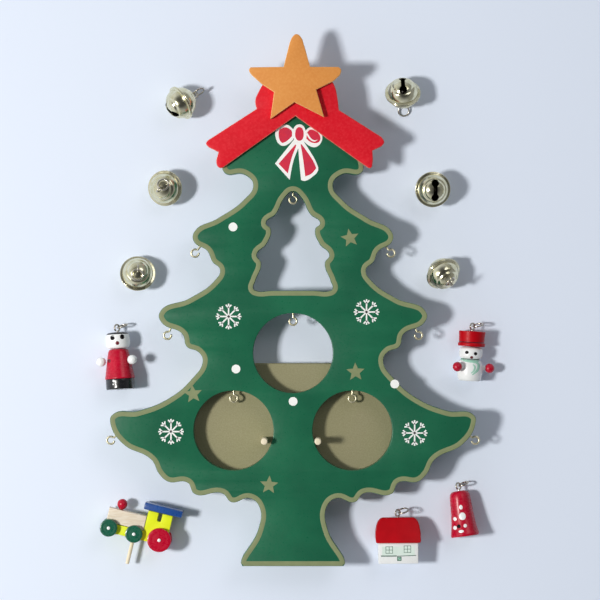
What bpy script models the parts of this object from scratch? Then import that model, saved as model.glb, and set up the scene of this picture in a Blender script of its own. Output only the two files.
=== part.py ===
"""Wooden Christmas tree with hanging ornaments, laid out flat as a set.

Metres, +Z up. The tree lies on its back over its base plate with its face up and
its star towards +Y. The loose ornaments lie round it on the same surface. The
origin is the centre of the base plate's underside.
"""
import math

import bmesh
import bpy
from mathutils import Matrix, Vector

# Clearances and overruns that the whole set shares
SEAT_GAP = 0.0003          # between touching pieces
SPIN_GAP = 0.00009         # round an axle in its bore
LOOSE_GAP = 0.002          # between the base plate and an ornament that lies below it
CUT_OVERRUN = 0.001        # how far a cutter runs past a face
MERGE = 0.00002            # doubles closer than this are one point

# Tree board
BOARD_WIDTH = 0.1926
BOARD_HEIGHT = 0.2562
BOARD_THICKNESS = 0.009
BOARD_EDGE_ROUND = 0.0005
CIRCLE_DIAMETER = 0.042
WINDOW_WIDTH = 0.0425
WINDOW_HEIGHT = 0.0522
WINDOW_FOOT_share = 0.5645
UPPER_CIRCLE_share = 0.4365
LOWER_CIRCLE_share = 0.278
LOWER_CIRCLE_SIDE_share = 0.324

# Half outline of the board from its hidden top to the trunk's foot. Each row is a
# share of half the width, a share of the height, and whether the point is a corner.
BOARD_OUTLINE_shares = (
    (0.000, 1.000, True), (0.120, 0.959, False), (0.207, 0.922, False),
    (0.300, 0.877, False), (0.384, 0.823, False), (0.372, 0.806, False),
    (0.267, 0.803, False), (0.217, 0.782, False), (0.270, 0.750, False),
    (0.409, 0.713, False), (0.540, 0.684, False), (0.540, 0.665, False),
    (0.465, 0.645, False), (0.440, 0.624, False), (0.398, 0.607, False),
    (0.430, 0.584, False), (0.563, 0.549, False), (0.728, 0.519, False),
    (0.716, 0.499, False), (0.602, 0.475, False), (0.580, 0.450, False),
    (0.514, 0.438, False), (0.492, 0.421, False), (0.553, 0.383, False),
    (0.675, 0.344, False), (0.842, 0.318, False), (0.988, 0.309, False),
    (0.994, 0.290, False), (0.926, 0.250, False), (0.772, 0.218, False),
    (0.728, 0.188, False), (0.680, 0.173, False), (0.575, 0.171, False),
    (0.537, 0.148, False), (0.385, 0.149, False), (0.335, 0.131, False),
    (0.235, 0.139, False), (0.183, 0.121, False), (0.190, 0.074, False),
    (0.284, 0.008, False), (0.276, 0.000, True),
)
# Tree-shaped window: shares of its own half width and height, from its top
WINDOW_OUTLINE_shares = (
    (0.00, 1.00, False), (0.20, 0.94, False), (0.43, 0.77, False), (0.67, 0.68, False),
    (0.55, 0.62, False), (0.66, 0.47, False), (0.90, 0.36, False), (0.79, 0.28, False),
    (0.93, 0.10, False), (0.98, 0.02, False), (0.92, 0.00, False), (0.50, 0.00, False),
)

# Bow and star plates, laid on the board's top
BOW_WIDTH = 0.0924
BOW_HEIGHT = 0.0446
BOW_THICKNESS = 0.003
BOW_TOP_share = 0.9855
BOW_OUTLINE_shares = (
    (0.00, 0.90, True), (0.30, 1.00, True), (0.43, 0.97, False), (0.475, 0.82, False),
    (0.47, 0.69, True), (0.985, 0.31, False), (0.985, 0.285, False), (0.87, 0.215, True),
    (0.86, 0.02, False), (0.82, 0.00, False), (0.00, 0.60, True),
)
STAR_WIDTH = 0.0492
STAR_HEIGHT = 0.0442
STAR_THICKNESS = 0.003
STAR_TOP_share = 1.088
STAR_OUTLINE_shares = (
    (0.00, 1.00, False), (0.055, 0.975, False), (0.28, 0.605, True), (0.955, 0.590, False),
    (0.985, 0.545, False), (0.45, 0.350, True), (0.58, 0.00, True), (0.00, 0.185, True),
)

# Screw hooks of the board
WIRE_DIAMETER = 0.0011
HOOK_RADIUS = 0.00195
HOOK_NECK = 0.0024
HOOK_SWEEP = math.radians(300)
SHANK_DEPTH = 0.005
# Where each right-hand branch hook leaves the edge, and the way that it points
BRANCH_HOOK_shares = ((0.508, 0.655), (0.668, 0.488), (0.962, 0.268))
BRANCH_HOOK_TURNS = (math.radians(38), math.radians(24), math.radians(50))

# Base plate and its pegs
BASE_LENGTH = 0.120
BASE_DEPTH = 0.070
BASE_THICKNESS = 0.009
BASE_EDGE_ROUND = 0.0008
TREE_SHIFT = 0.001
PEG_DIAMETER = 0.0035
PEG_RISE = 0.016
PEG_SEAT = 0.006
PEG_TIP_ROUND = 0.0006
PEG_ROW = -0.0055
PEG_RIM_GAP = 0.00035

# Jingle bells
BELL_DIAMETER = 0.0164
BELL_WALL = 0.0005
BELL_FLANGE = 0.0007
BELL_FLANGE_RISE = 0.0012
BELL_STEPS = 12
SLIT_WIDTH = 0.0022
SLIT_LENGTH = 0.0116
SLIT_EYE_DIAMETER = 0.0040
PELLET_DIAMETER = 0.005
PELLET_GAP = 0.0006
LOOP_RISE = 0.0026
LOOP_RADIUS = 0.0016

# Screw eyes and jump rings of the ornaments
RING_RADIUS = 0.0029
RING_WIRE = 0.0009
EYE_RADIUS = 0.00175
EYE_NECK = 0.0007
EYE_SHANK = 0.0032
EYE_SWEEP = math.radians(318)
EYE_ROLL = math.radians(45)
EYE_LINK = math.radians(20)
EYE_RING_LEAN = math.radians(55)

# Wooden ornaments: profiles are shares of the radius and of the height, top first
TURNED_STEPS = 18
EDGE_ROUND = 0.0004
BEAD_DIAMETER = 0.0051
SOLDIER_BODY_HEIGHT = 0.0212
SOLDIER_WIDTH = 0.0157
SOLDIER_BODY_shares = (
    (0.00, 1.00), (0.54, 1.00), (0.68, 0.95), (0.80, 0.70), (0.99, 0.30), (1.00, 0.27), (0.92, 0.255),
    (0.955, 0.24), (0.955, 0.03), (0.92, 0.00), (0.00, 0.00),
)
SOLDIER_HEAD_WIDTH = 0.0128
SOLDIER_HEAD_HEIGHT = 0.0086
HEAD_shares = (
    (0.00, 1.00), (0.62, 1.00), (0.86, 0.94), (0.98, 0.77), (1.00, 0.48), (0.96, 0.20), (0.82, 0.04),
    (0.62, 0.00), (0.00, 0.00),
)
HAND_HEIGHT_share = 0.71
HAND_ANGLES = (math.radians(172), math.radians(38))
SNOWMAN_BODY_HEIGHT = 0.0113
SNOWMAN_WIDTH = 0.0133
SNOWMAN_BODY_shares = (
    (0.00, 1.00), (0.72, 1.00), (0.92, 0.88), (1.00, 0.62), (1.00, 0.34), (0.90, 0.08), (0.80, 0.00),
    (0.00, 0.00),
)
SNOWMAN_HEAD_WIDTH = 0.0124
SNOWMAN_HEAD_HEIGHT = 0.0064
HAT_WIDTH = 0.0142
HAT_HEIGHT = 0.0080
HAT_shares = (
    (0.00, 1.00), (0.93, 1.00), (0.985, 0.95), (0.94, 0.26), (1.00, 0.20), (1.00, 0.03), (0.96, 0.00),
    (0.00, 0.00),
)
ARM_DIAMETER = 0.0026
ARM_REACH = 0.0010
ARM_HEIGHT_share = 0.64
ARM_ANGLES = (math.radians(133), math.radians(-4))
HOUSE_WIDTH = 0.0210
HOUSE_WALL_HEIGHT = 0.0110
HOUSE_DEPTH = 0.0130
ROOF_OVERHANG = 0.0012
ROOF_SIDE_OVERHANG = 0.0014
ROOF_HEIGHT = 0.0123
RIDGE_LENGTH = 0.0202
RIDGE_WIDTH = 0.0022
DROP_BELL_HEIGHT = 0.0242
DROP_BELL_WIDTH = 0.0150
DROP_BELL_shares = (
    (0.00, 1.00), (0.36, 1.00), (0.62, 0.965), (0.72, 0.89), (0.755, 0.70), (0.82, 0.40), (0.93, 0.15),
    (1.00, 0.06), (0.97, 0.00), (0.00, 0.00),
)

# Train, which lies on its side with its front towards -X
CHASSIS_REACH = 0.0022
CHASSIS_HEIGHT = 0.0050
CHASSIS_WIDTH = 0.0070
BOILER_LENGTH = 0.0202
BOILER_HEIGHT = 0.0076
ARCH_RISE = 0.0018
CAB_LENGTH = 0.0131
CAB_HEIGHT = 0.0112
NOTCH_WIDTH = 0.0021
NOTCH_DEPTH = 0.0046
TRAIN_ROOF_LENGTH = 0.0205
TRAIN_ROOF_WIDTH = 0.0110
TRAIN_ROOF_THICKNESS = 0.0036
TRAIN_ROOF_SHIFT = 0.0010
CHIMNEY_DIAMETER = 0.0055
CHIMNEY_STEM = 0.0022
CHIMNEY_SEAT = 0.0024
CHIMNEY_share = 0.30
SMALL_WHEEL_DIAMETER = 0.0092
REAR_WHEEL_DIAMETER = 0.0126
WHEEL_THICKNESS = 0.0028
WHEEL_SPACING = 0.0137
AXLE_DIAMETER = 0.0018
AXLE_STUB = 0.0006
TRAIN_PEG_DIAMETER = 0.0020
TRAIN_PEG_REACH = 0.0142
TRAIN_PEG_SEAT = 0.0010

# Places of the loose pieces, in shares of half the board's width and of its height
# from the tree's axis and foot, with each piece's turn
BELL_PLACE_shares = (
    (-0.616, 0.952), (-0.703, 0.776), (-0.853, 0.600),
    (0.602, 0.972), (0.766, 0.773), (0.824, 0.600),
)
# For each bell: the way that its crown points, round and up, then the turn of its slit
BELL_POINTS = tuple(tuple(math.radians(angle) for angle in row) for row in (
    (32, -22, 70), (200, 72, 30), (75, 74, 10), (-88, -52, 0), (139, -80, 49), (-57, 46, 20),
))
# For each bell: where its ring lies on the loop, from the crown towards one end of the slit,
# and how far the ring leans aside there
BELL_RINGS = tuple(tuple(math.radians(angle) for angle in row) for row in (
    (-10, 60), (-110, 0), (-110, 0), (-38, 15), (-70, 15), (-60, 45),
))
SOLDIER_PLACE_shares = (-0.947, 0.359)
SOLDIER_TURN = math.radians(3.5)
SNOWMAN_PLACE_shares = (0.968, 0.3785)
SNOWMAN_TURN = math.radians(-3.5)
HOUSE_PLACE_shares = (0.577, 0.008)
HOUSE_TURN = math.radians(0.5)
DROP_BELL_PLACE_shares = (0.947, 0.0547)
DROP_BELL_TURN = math.radians(7.5)
TRAIN_PLACE_shares = (-0.871, 0.064)
TRAIN_TURN = math.radians(-13.6)

# Levels and reference places that follow from the sizes
BOARD_BACK = BASE_THICKNESS + SEAT_GAP
BOARD_FACE = BOARD_BACK + BOARD_THICKNESS
BOARD_MIDDLE = BOARD_BACK + BOARD_THICKNESS / 2
BOW_BACK = BOARD_FACE + SEAT_GAP
STAR_BACK = BOW_BACK + BOW_THICKNESS + SEAT_GAP
TREE_FOOT = -LOWER_CIRCLE_share * BOARD_HEIGHT
WIRE_RADIUS = WIRE_DIAMETER / 2
SHANK_HOLE_RADIUS = WIRE_RADIUS + SEAT_GAP


def clear_scene():
    """Remove whatever the open file holds."""
    for item in list(bpy.data.objects):
        bpy.data.objects.remove(item, do_unlink=True)


clear_scene()
PARTS = bpy.data.collections.new("wooden_christmas_tree_set")
CUTTERS = bpy.data.collections.new("cutters")
for group in (PARTS, CUTTERS):
    bpy.context.scene.collection.children.link(group)


def paint(name, colour, roughness, metallic=0.0):
    """Make one plain Principled material."""
    material = bpy.data.materials.new(name)
    material.use_nodes = True
    shader = material.node_tree.nodes["Principled BSDF"]
    shader.inputs["Base Color"].default_value = (*colour, 1.0)
    shader.inputs["Roughness"].default_value = roughness
    shader.inputs["Metallic"].default_value = metallic
    return material


GREEN_PAINT = paint("green_paint", (0.012, 0.14, 0.075), 0.35)
RED_PAINT = paint("red_paint", (0.60, 0.012, 0.022), 0.40)
ORANGE_PAINT = paint("orange_paint", (0.75, 0.30, 0.065), 0.45)
WHITE_PAINT = paint("white_paint", (0.85, 0.83, 0.80), 0.40)
YELLOW_PAINT = paint("yellow_paint", (0.80, 0.72, 0.01), 0.40)
BLUE_PAINT = paint("blue_paint", (0.02, 0.08, 0.33), 0.40)
BARE_WOOD = paint("bare_wood", (0.70, 0.58, 0.45), 0.65)
KHAKI_BOARD = paint("khaki_board", (0.28, 0.25, 0.15), 0.70)
PALE_BRASS = paint("pale_brass", (0.72, 0.68, 0.48), 0.22, 1.0)
BRIGHT_WIRE = paint("bright_wire", (0.62, 0.60, 0.55), 0.25, 1.0)


def add_object(name, data, group=PARTS):
    """Link a new object that holds the given data."""
    item = bpy.data.objects.new(name, data)
    group.objects.link(item)
    return item


def add_frame(name, shares, turn=0.0, lean=0.0):
    """Empty that carries one loose ornament, with its top lowered by its lean."""
    frame = add_object(name, None)
    frame.location = tree_point(shares)
    frame.rotation_euler = (-lean, 0, turn)
    return frame


def lay_below_base(frame, reach):
    """Keep an ornament that reaches up this far clear of the base plate's lower edge."""
    frame.location.y = min(frame.location.y, -BASE_DEPTH / 2 - LOOSE_GAP - reach)


def dress(item, material, frame=None, smooth=math.radians(40)):
    """Give a piece its material, its carrier and its shading."""
    item.data.materials.clear()
    item.data.materials.append(material)
    if frame is not None:
        item.parent = frame
    item.data.shade_smooth()
    item.data.set_sharp_from_angle(angle=smooth)
    return item


def baked(item):
    """Replace an object by the plain mesh that its modifiers or curve give."""
    bpy.context.view_layer.update()
    seen = item.evaluated_get(bpy.context.evaluated_depsgraph_get())
    mesh = bpy.data.meshes.new_from_object(seen)
    name, matrix = item.name, item.matrix_world.copy()
    group = item.users_collection[0]
    bpy.data.objects.remove(item, do_unlink=True)
    sheet = bmesh.new()
    sheet.from_mesh(mesh)
    bmesh.ops.remove_doubles(sheet, verts=sheet.verts, dist=MERGE)
    sheet.to_mesh(mesh)
    sheet.free()
    plain = add_object(name, mesh, group)
    plain.matrix_world = matrix
    return plain


def hide_cutter(cutter):
    """Show a cutter as wire only."""
    cutter.hide_render = True
    cutter.display_type = "WIRE"
    return cutter


def combine(item, others, operation="DIFFERENCE"):
    """Cut or join other shapes with an object, then keep the plain result."""
    for other in others:
        modifier = item.modifiers.new(operation.lower(), "BOOLEAN")
        modifier.operation = operation
        modifier.solver = "EXACT"
        modifier.object = other
    item = baked(item)
    for other in others:
        bpy.data.objects.remove(other, do_unlink=True)
    return item


def mirrored(half):
    """Close a right-hand half outline round its left-hand mirror."""
    left = [(-x, y, corner) for x, y, corner in reversed(half) if x > 0]
    return list(half) + left


def scaled_outline(shares, width, height):
    """Turn rows of shares into points of a symmetric outline, foot at zero."""
    return mirrored([(x * width / 2, y * height, corner) for x, y, corner in shares])


def circle_outline(x, y, radius):
    """Four smooth points, which automatic handles make round."""
    return [(x + radius, y, False), (x, y + radius, False), (x - radius, y, False), (x, y - radius, False)]


def flat_plate(name, outlines, thickness, back, edge_round, steps=4):
    """A plate from closed outlines in the plane, the first being its edge."""
    curve = bpy.data.curves.new(name, "CURVE")
    curve.dimensions = "2D"
    curve.fill_mode = "BOTH"
    curve.extrude = thickness / 2 - edge_round
    curve.bevel_depth = edge_round
    curve.bevel_resolution = 0
    curve.offset = -edge_round
    for outline, resolution in zip(outlines, steps if isinstance(steps, tuple) else (steps,) * len(outlines)):
        spline = curve.splines.new("BEZIER")
        spline.bezier_points.add(len(outline) - 1)
        for point, (x, y, corner) in zip(spline.bezier_points, outline):
            point.co = (x, y, 0)
            handle = "VECTOR" if corner else "AUTO"
            point.handle_left_type = handle
            point.handle_right_type = handle
        spline.use_cyclic_u = True
        spline.resolution_u = resolution
    plate = add_object(name, curve)
    plate.location.z = back + thickness / 2
    return plate


def wire(name, points, radius, closed=False):
    """Round wire along a list of points."""
    curve = bpy.data.curves.new(name, "CURVE")
    curve.dimensions = "3D"
    curve.bevel_depth = radius
    curve.bevel_resolution = 1
    curve.use_fill_caps = not closed
    spline = curve.splines.new("POLY")
    spline.points.add(len(points) - 1)
    for point, place in zip(spline.points, points):
        point.co = (*place, 1)
    spline.use_cyclic_u = closed
    return baked(add_object(name, curve))


def cylinder(name, radius, length, group=PARTS, steps=16):
    """Cylinder along Z, centred on its own origin."""
    mesh = bpy.data.meshes.new(name)
    shape = bmesh.new()
    bmesh.ops.create_cone(shape, cap_ends=True, segments=steps, radius1=radius, radius2=radius, depth=length)
    shape.to_mesh(mesh)
    shape.free()
    return add_object(name, mesh, group)


def block(name, width, depth, height, group=PARTS):
    """Rectangular block centred on its own origin."""
    mesh = bpy.data.meshes.new(name)
    shape = bmesh.new()
    bmesh.ops.create_cube(shape, size=1)
    bmesh.ops.scale(shape, vec=(width, depth, height), verts=shape.verts)
    shape.to_mesh(mesh)
    shape.free()
    return add_object(name, mesh, group)


def ball(name, diameter, across=12, along=8):
    """Round bead centred on its own origin."""
    mesh = bpy.data.meshes.new(name)
    shape = bmesh.new()
    bmesh.ops.create_uvsphere(shape, u_segments=across, v_segments=along, radius=diameter / 2)
    shape.to_mesh(mesh)
    shape.free()
    return add_object(name, mesh)


def turned(name, profile, steps=TURNED_STEPS):
    """Turn a profile of (radius, height) points, top first, round Z."""
    mesh = bpy.data.meshes.new(name)
    points = [(radius, 0, height) for radius, height in profile]
    mesh.from_pydata(points, [(i, i + 1) for i in range(len(points) - 1)], [])
    item = add_object(name, mesh)
    screw = item.modifiers.new("turn", "SCREW")
    screw.steps = steps
    screw.render_steps = steps
    screw.use_merge_vertices = True
    screw.merge_threshold = MERGE
    return baked(item)


def move_mesh(item, matrix):
    """Place a piece's mesh, leaving its origin alone."""
    item.data.transform(matrix)
    return item


def laid_down(item, rise):
    """Lay an upright turned piece along +Y with its axis at the given height."""
    return move_mesh(item, Matrix.Translation((0, 0, rise)) @ Matrix.Rotation(-math.pi / 2, 4, "X"))


def rounded(item, width, segments=1):
    """Round a piece's sharp edges."""
    bevel = item.modifiers.new("edges", "BEVEL")
    bevel.width = width
    bevel.segments = segments
    bevel.limit_method = "ANGLE"
    bevel.angle_limit = math.radians(40)
    return baked(item)


def arc(radius, start, end, count):
    """Points on an arc round the origin, both ends included."""
    angles = [start + (end - start) * i / count for i in range(count + 1)]
    return [(radius * math.cos(a), radius * math.sin(a)) for a in angles]


def tree_point(shares):
    """Point of the tree's plane from shares of half its width and of its height."""
    x, y = shares
    return Vector((TREE_SHIFT + x * BOARD_WIDTH / 2, TREE_FOOT + y * BOARD_HEIGHT, 0))


def hook_points():
    """Screw hook hanging along -Y from its mouth at the origin, open on its left."""
    middle = -HOOK_NECK - HOOK_RADIUS
    bend = arc(HOOK_RADIUS, math.pi / 2, math.pi / 2 - HOOK_SWEEP, 8)
    return [(0, SHANK_DEPTH - SEAT_GAP, 0)] + [(x, middle + y, 0) for x, y in bend]


def hook_matrix(place, turn, flip):
    """Place of a hook whose mouth sits at a point of the board's edge."""
    side = Matrix.Scale(-1, 4, (1, 0, 0)) if flip else Matrix.Identity(4)
    return Matrix.Translation((place.x, place.y, BOARD_MIDDLE)) @ side @ Matrix.Rotation(turn, 4, "Z")


def make_hook(name, matrix):
    """One hook as a plain mesh in its place."""
    item = wire(name, hook_points(), WIRE_RADIUS)
    move_mesh(item, matrix)
    if matrix.determinant() < 0:
        item.data.flip_normals()
    return item


def make_shank_hole(matrix):
    """Blind hole that takes a hook's shank, with its mouth run past the edge."""
    depth = SHANK_DEPTH + 2 * CUT_OVERRUN
    hole = cylinder("shank_hole", SHANK_HOLE_RADIUS, depth, CUTTERS, 8)
    along = Matrix.Translation((0, depth / 2 - 2 * CUT_OVERRUN, 0)) @ Matrix.Rotation(math.pi / 2, 4, "X")
    hole.matrix_world = matrix @ along
    return hide_cutter(hole)


def circle_centres():
    """Centres of the upper and the two lower round openings."""
    return [tree_point((0, UPPER_CIRCLE_share)),
            tree_point((-LOWER_CIRCLE_SIDE_share, LOWER_CIRCLE_share)),
            tree_point((LOWER_CIRCLE_SIDE_share, LOWER_CIRCLE_share))]


def cutout_hook_matrices():
    """Hooks at the top of the four openings."""
    tops = [centre + Vector((0, CIRCLE_DIAMETER / 2, 0)) for centre in circle_centres()]
    tops.append(tree_point((0, WINDOW_FOOT_share)) + Vector((0, WINDOW_HEIGHT, 0)))
    return [hook_matrix(top, 0, False) for top in tops]


def branch_hook_matrices():
    """Hooks under the three lower branch tips of each side."""
    rows = []
    for side in (1, -1):
        for (x, y), turn in zip(BRANCH_HOOK_shares, BRANCH_HOOK_TURNS):
            rows.append(hook_matrix(tree_point((side * x, y)), turn, side < 0))
    return rows


def peg_places():
    """Pegs stand inside the lower openings, beside their inner rims."""
    radius = CIRCLE_DIAMETER / 2
    half_chord = math.sqrt(radius ** 2 - PEG_ROW ** 2)
    rim = circle_centres()[2].x - half_chord
    right = rim + PEG_RIM_GAP + PEG_DIAMETER / 2
    return [Vector((-right, PEG_ROW, 0)), Vector((right, PEG_ROW, 0))]


def make_tree_board():
    """Board with its window, its round openings and its hook and peg holes."""
    shift = Matrix.Translation((TREE_SHIFT, TREE_FOOT, 0))
    foot = WINDOW_FOOT_share * BOARD_HEIGHT
    edge = scaled_outline(BOARD_OUTLINE_shares, BOARD_WIDTH, BOARD_HEIGHT)
    window = [(x, y + foot, corner) for x, y, corner in
              scaled_outline(WINDOW_OUTLINE_shares, WINDOW_WIDTH, WINDOW_HEIGHT)]
    outlines = [edge, window]
    for centre in circle_centres():
        outlines.append(circle_outline(centre.x - TREE_SHIFT, centre.y - TREE_FOOT, CIRCLE_DIAMETER / 2))
    board = baked(flat_plate("tree_board", outlines, BOARD_THICKNESS, BOARD_BACK, 0, (3, 3, 9, 9, 9)))
    board.data.transform(shift)
    holes = [make_shank_hole(matrix) for matrix in cutout_hook_matrices() + branch_hook_matrices()]
    for place in peg_places():
        depth = PEG_RISE + SEAT_GAP + CUT_OVERRUN
        hole = cylinder("trunk_hole", PEG_DIAMETER / 2 + SEAT_GAP, depth, CUTTERS, 12)
        hole.rotation_euler.x = math.pi / 2
        hole.location = (place.x + TREE_SHIFT, TREE_FOOT + depth / 2 - CUT_OVERRUN, BOARD_MIDDLE)
        holes.append(hide_cutter(hole))
    return dress(combine(board, holes), GREEN_PAINT)


def make_tree_trim():
    """Bow plate on the board, and star plate on the bow."""
    bow = scaled_outline(BOW_OUTLINE_shares, BOW_WIDTH, BOW_HEIGHT)
    plate = baked(flat_plate("bow_plate", [bow], BOW_THICKNESS, BOW_BACK, BOARD_EDGE_ROUND, 3))
    plate.data.transform(Matrix.Translation(tree_point((0, BOW_TOP_share)) - Vector((0, BOW_HEIGHT, 0))))
    dress(plate, RED_PAINT)
    star = scaled_outline(STAR_OUTLINE_shares, STAR_WIDTH, STAR_HEIGHT)
    plate = baked(flat_plate("star_plate", [star], STAR_THICKNESS, STAR_BACK, BOARD_EDGE_ROUND, 3))
    plate.data.transform(Matrix.Translation(tree_point((0, STAR_TOP_share)) - Vector((0, STAR_HEIGHT, 0))))
    dress(plate, ORANGE_PAINT)


def make_hooks():
    """The board's screw hooks, each its own piece."""
    sides = [f"branch_hook_{side}_{tier}" for side in ("right", "left") for tier in (1, 2, 3)]
    for name, matrix in zip(sides, branch_hook_matrices()):
        dress(make_hook(name, matrix), BRIGHT_WIRE)
    places = ["cutout_hook_upper", "cutout_hook_left", "cutout_hook_right", "cutout_hook_window"]
    for name, matrix in zip(places, cutout_hook_matrices()):
        dress(make_hook(name, matrix), BRIGHT_WIRE)


def make_base():
    """Base plate with the two dowels that are glued into it."""
    plate = block("base_plate", BASE_LENGTH, BASE_DEPTH, BASE_THICKNESS)
    move_mesh(plate, Matrix.Translation((0, 0, BASE_THICKNESS / 2)))
    plate = rounded(plate, BASE_EDGE_ROUND, 2)
    pegs = []
    for place in peg_places():
        length = PEG_SEAT + PEG_RISE
        peg = rounded(cylinder("peg", PEG_DIAMETER / 2, length), PEG_TIP_ROUND)
        peg.location = place + Vector((0, 0, BASE_THICKNESS + PEG_RISE - length / 2))
        pegs.append(peg)
    dress(combine(plate, pegs, "UNION"), KHAKI_BOARD)


def slit_points():
    """Dumbbell slit: two round eyes joined by a narrow slot."""
    eye = SLIT_EYE_DIAMETER / 2
    middle = SLIT_LENGTH / 2 - eye
    neck = math.asin(SLIT_WIDTH / 2 / eye)
    right = [(middle + x, y, True) for x, y in arc(eye, neck - math.pi, math.pi - neck, 6)]
    return right + [(-x, -y, True) for x, y, _ in right]


def make_bell_shell():
    """Two pressed shells crimped at the seam, crown with its loop along +Z, slit along -Z."""
    outer = BELL_DIAMETER / 2
    low = math.asin(BELL_FLANGE / outer)
    flange = outer + BELL_FLANGE_RISE
    upper = arc(outer, math.pi / 2, low, 4)
    upper[0] = (0, outer)
    groove = [(flange, BELL_FLANGE), (flange, SEAT_GAP / 2), (outer + SEAT_GAP, 0)]
    lower = [(r, -h) for r, h in reversed(upper + groove[:-1])]
    shell = turned("bell_shell", upper + groove + lower, BELL_STEPS)
    cavity = ball("bell_cavity", BELL_DIAMETER - 2 * BELL_WALL, BELL_STEPS, 8)
    slit = baked(flat_plate("slit", [slit_points()], BELL_DIAMETER, -BELL_DIAMETER, 0, 1))
    cavity = combine(cavity, [slit], "UNION")
    shell = combine(shell, [hide_cutter(cavity)])
    top = outer + LOOP_RISE - LOOP_RADIUS
    root = math.sqrt((outer - BELL_WALL / 2) ** 2 - LOOP_RADIUS ** 2)
    bend = [(x, 0, top + y) for x, y in arc(LOOP_RADIUS, 0, math.pi, 6)]
    loop = wire("loop", [(LOOP_RADIUS, 0, root), *bend, (-LOOP_RADIUS, 0, root)], RING_WIRE / 2)
    return combine(shell, [loop], "UNION")


def hang_ring(name, frame, link, along, side, lean):
    """Jump ring linked over a wire at a point, leaning from along towards side.

    The ring's origin is the link and its own X is the line that it swings round.
    """
    bend = [(0, y, z) for y, z in arc(RING_RADIUS, 0, math.tau, 11)][:-1]
    ring = wire(name, bend, RING_WIRE / 2, closed=True)
    reach = RING_RADIUS - (RING_WIRE + SEAT_GAP)
    move_mesh(ring, Matrix.Translation((0, reach * math.sin(lean), reach * math.cos(lean))))
    turn = Matrix((side.cross(along), side, along)).transposed()
    ring.location = link
    ring.rotation_euler = turn.to_euler()
    return dress(ring, BRIGHT_WIRE, frame)


def make_bells():
    """Six bells that share their shell, each lying its own way."""
    shared = make_bell_shell()
    rows = zip(BELL_PLACE_shares, BELL_POINTS, BELL_RINGS)
    for number, (shares, (around, up, roll), (hang, lean)) in enumerate(rows, 1):
        frame = add_frame(f"bell_{number}_frame", shares)
        tip = Matrix.Rotation(around, 4, "Z") @ Matrix.Rotation(math.pi / 2 - up, 4, "Y")
        turn = tip @ Matrix.Rotation(roll, 4, "Z")
        shell = add_object(f"bell_{number}_shell", shared.data)
        shell.rotation_euler = turn.to_euler()
        dress(shell, PALE_BRASS, frame)
        pellet = ball(f"bell_{number}_pellet", PELLET_DIAMETER, 8, 6)
        drop = BELL_DIAMETER / 2 - BELL_WALL - PELLET_DIAMETER / 2 - PELLET_GAP
        move_mesh(pellet, Matrix.Translation((0, 0, -drop)))
        dress(pellet, BRIGHT_WIRE, frame)
        out = Vector((math.sin(hang), 0, math.cos(hang)))
        bend = max(min(hang, math.pi / 2), -math.pi / 2)
        link = LOOP_RADIUS * Vector((math.sin(bend), 0, math.cos(bend)))
        link.z += BELL_DIAMETER / 2 + LOOP_RISE - LOOP_RADIUS
        side = turn.to_3x3() @ Vector((0, 1, 0))
        hang_ring(f"bell_{number}_ring", frame, turn @ link, turn.to_3x3() @ out, side, lean)
        settle(frame)
    bpy.data.objects.remove(shared, do_unlink=True)


def eye_hole(top):
    """Cutter for the hole that takes a screw eye's shank, mouth at top, along Y."""
    depth = EYE_SHANK + CUT_OVERRUN
    hole = cylinder("eye_hole", RING_WIRE / 2 + SEAT_GAP, depth, CUTTERS, 8)
    place = Matrix.Translation((0, top[0] - EYE_SHANK + depth / 2, top[1]))
    hole.matrix_world = place @ Matrix.Rotation(math.pi / 2, 4, "X")
    return hide_cutter(hole)


def add_eye(owner, frame, top):
    """Screw eye in an ornament's top at (height, level), with its jump ring."""
    middle = EYE_NECK + EYE_RADIUS
    loop = arc(EYE_RADIUS, -math.pi / 2, EYE_SWEEP - math.pi / 2, 9)
    points = [(0, SEAT_GAP - EYE_SHANK, 0)] + [(x, middle + y, 0) for x, y in loop]
    eye = wire(f"{owner}_eye", points, RING_WIRE / 2)
    place = Matrix.Translation((0, top[0], top[1])) @ Matrix.Rotation(EYE_ROLL, 4, "Y")
    dress(move_mesh(eye, place), BRIGHT_WIRE, frame)
    out = Vector((math.cos(EYE_LINK), math.sin(EYE_LINK), 0))
    link = place @ (Vector((0, middle, 0)) + EYE_RADIUS * out)
    along = place.to_3x3() @ out
    side = place.to_3x3() @ Vector((0, 0, 1))
    hang_ring(f"{owner}_ring", frame, link, along, side, EYE_RING_LEAN)


def settle(frame):
    """Lower or lift an ornament until its lowest point is on the surface."""
    bpy.context.view_layer.update()
    lowest = min((child.matrix_world @ vertex.co).z for child in frame.children
                 for vertex in child.data.vertices)
    frame.location.z -= lowest


def profile(shares, width, height, base=0.0):
    """Turned profile in real sizes from rows of shares."""
    return [(radius * width / 2, base + rise * height) for radius, rise in shares]


def radius_at(shares, width, share):
    """Radius of a turned profile at a share of its height."""
    rows = shares[1:-1]
    for (upper, high), (lower, low) in zip(rows, rows[1:]):
        if low <= share <= high:
            return (lower + (upper - lower) * (share - low) / (high - low)) * width / 2
    return rows[-1][0] * width / 2


def bead_beside(name, reach, angle, height, level):
    """Bead whose centre is at a distance and an angle from an ornament's axis."""
    bead = ball(name, BEAD_DIAMETER, 10, 7)
    place = Vector((reach * math.cos(angle), height, level + reach * math.sin(angle)))
    return move_mesh(bead, Matrix.Translation(place))


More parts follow.
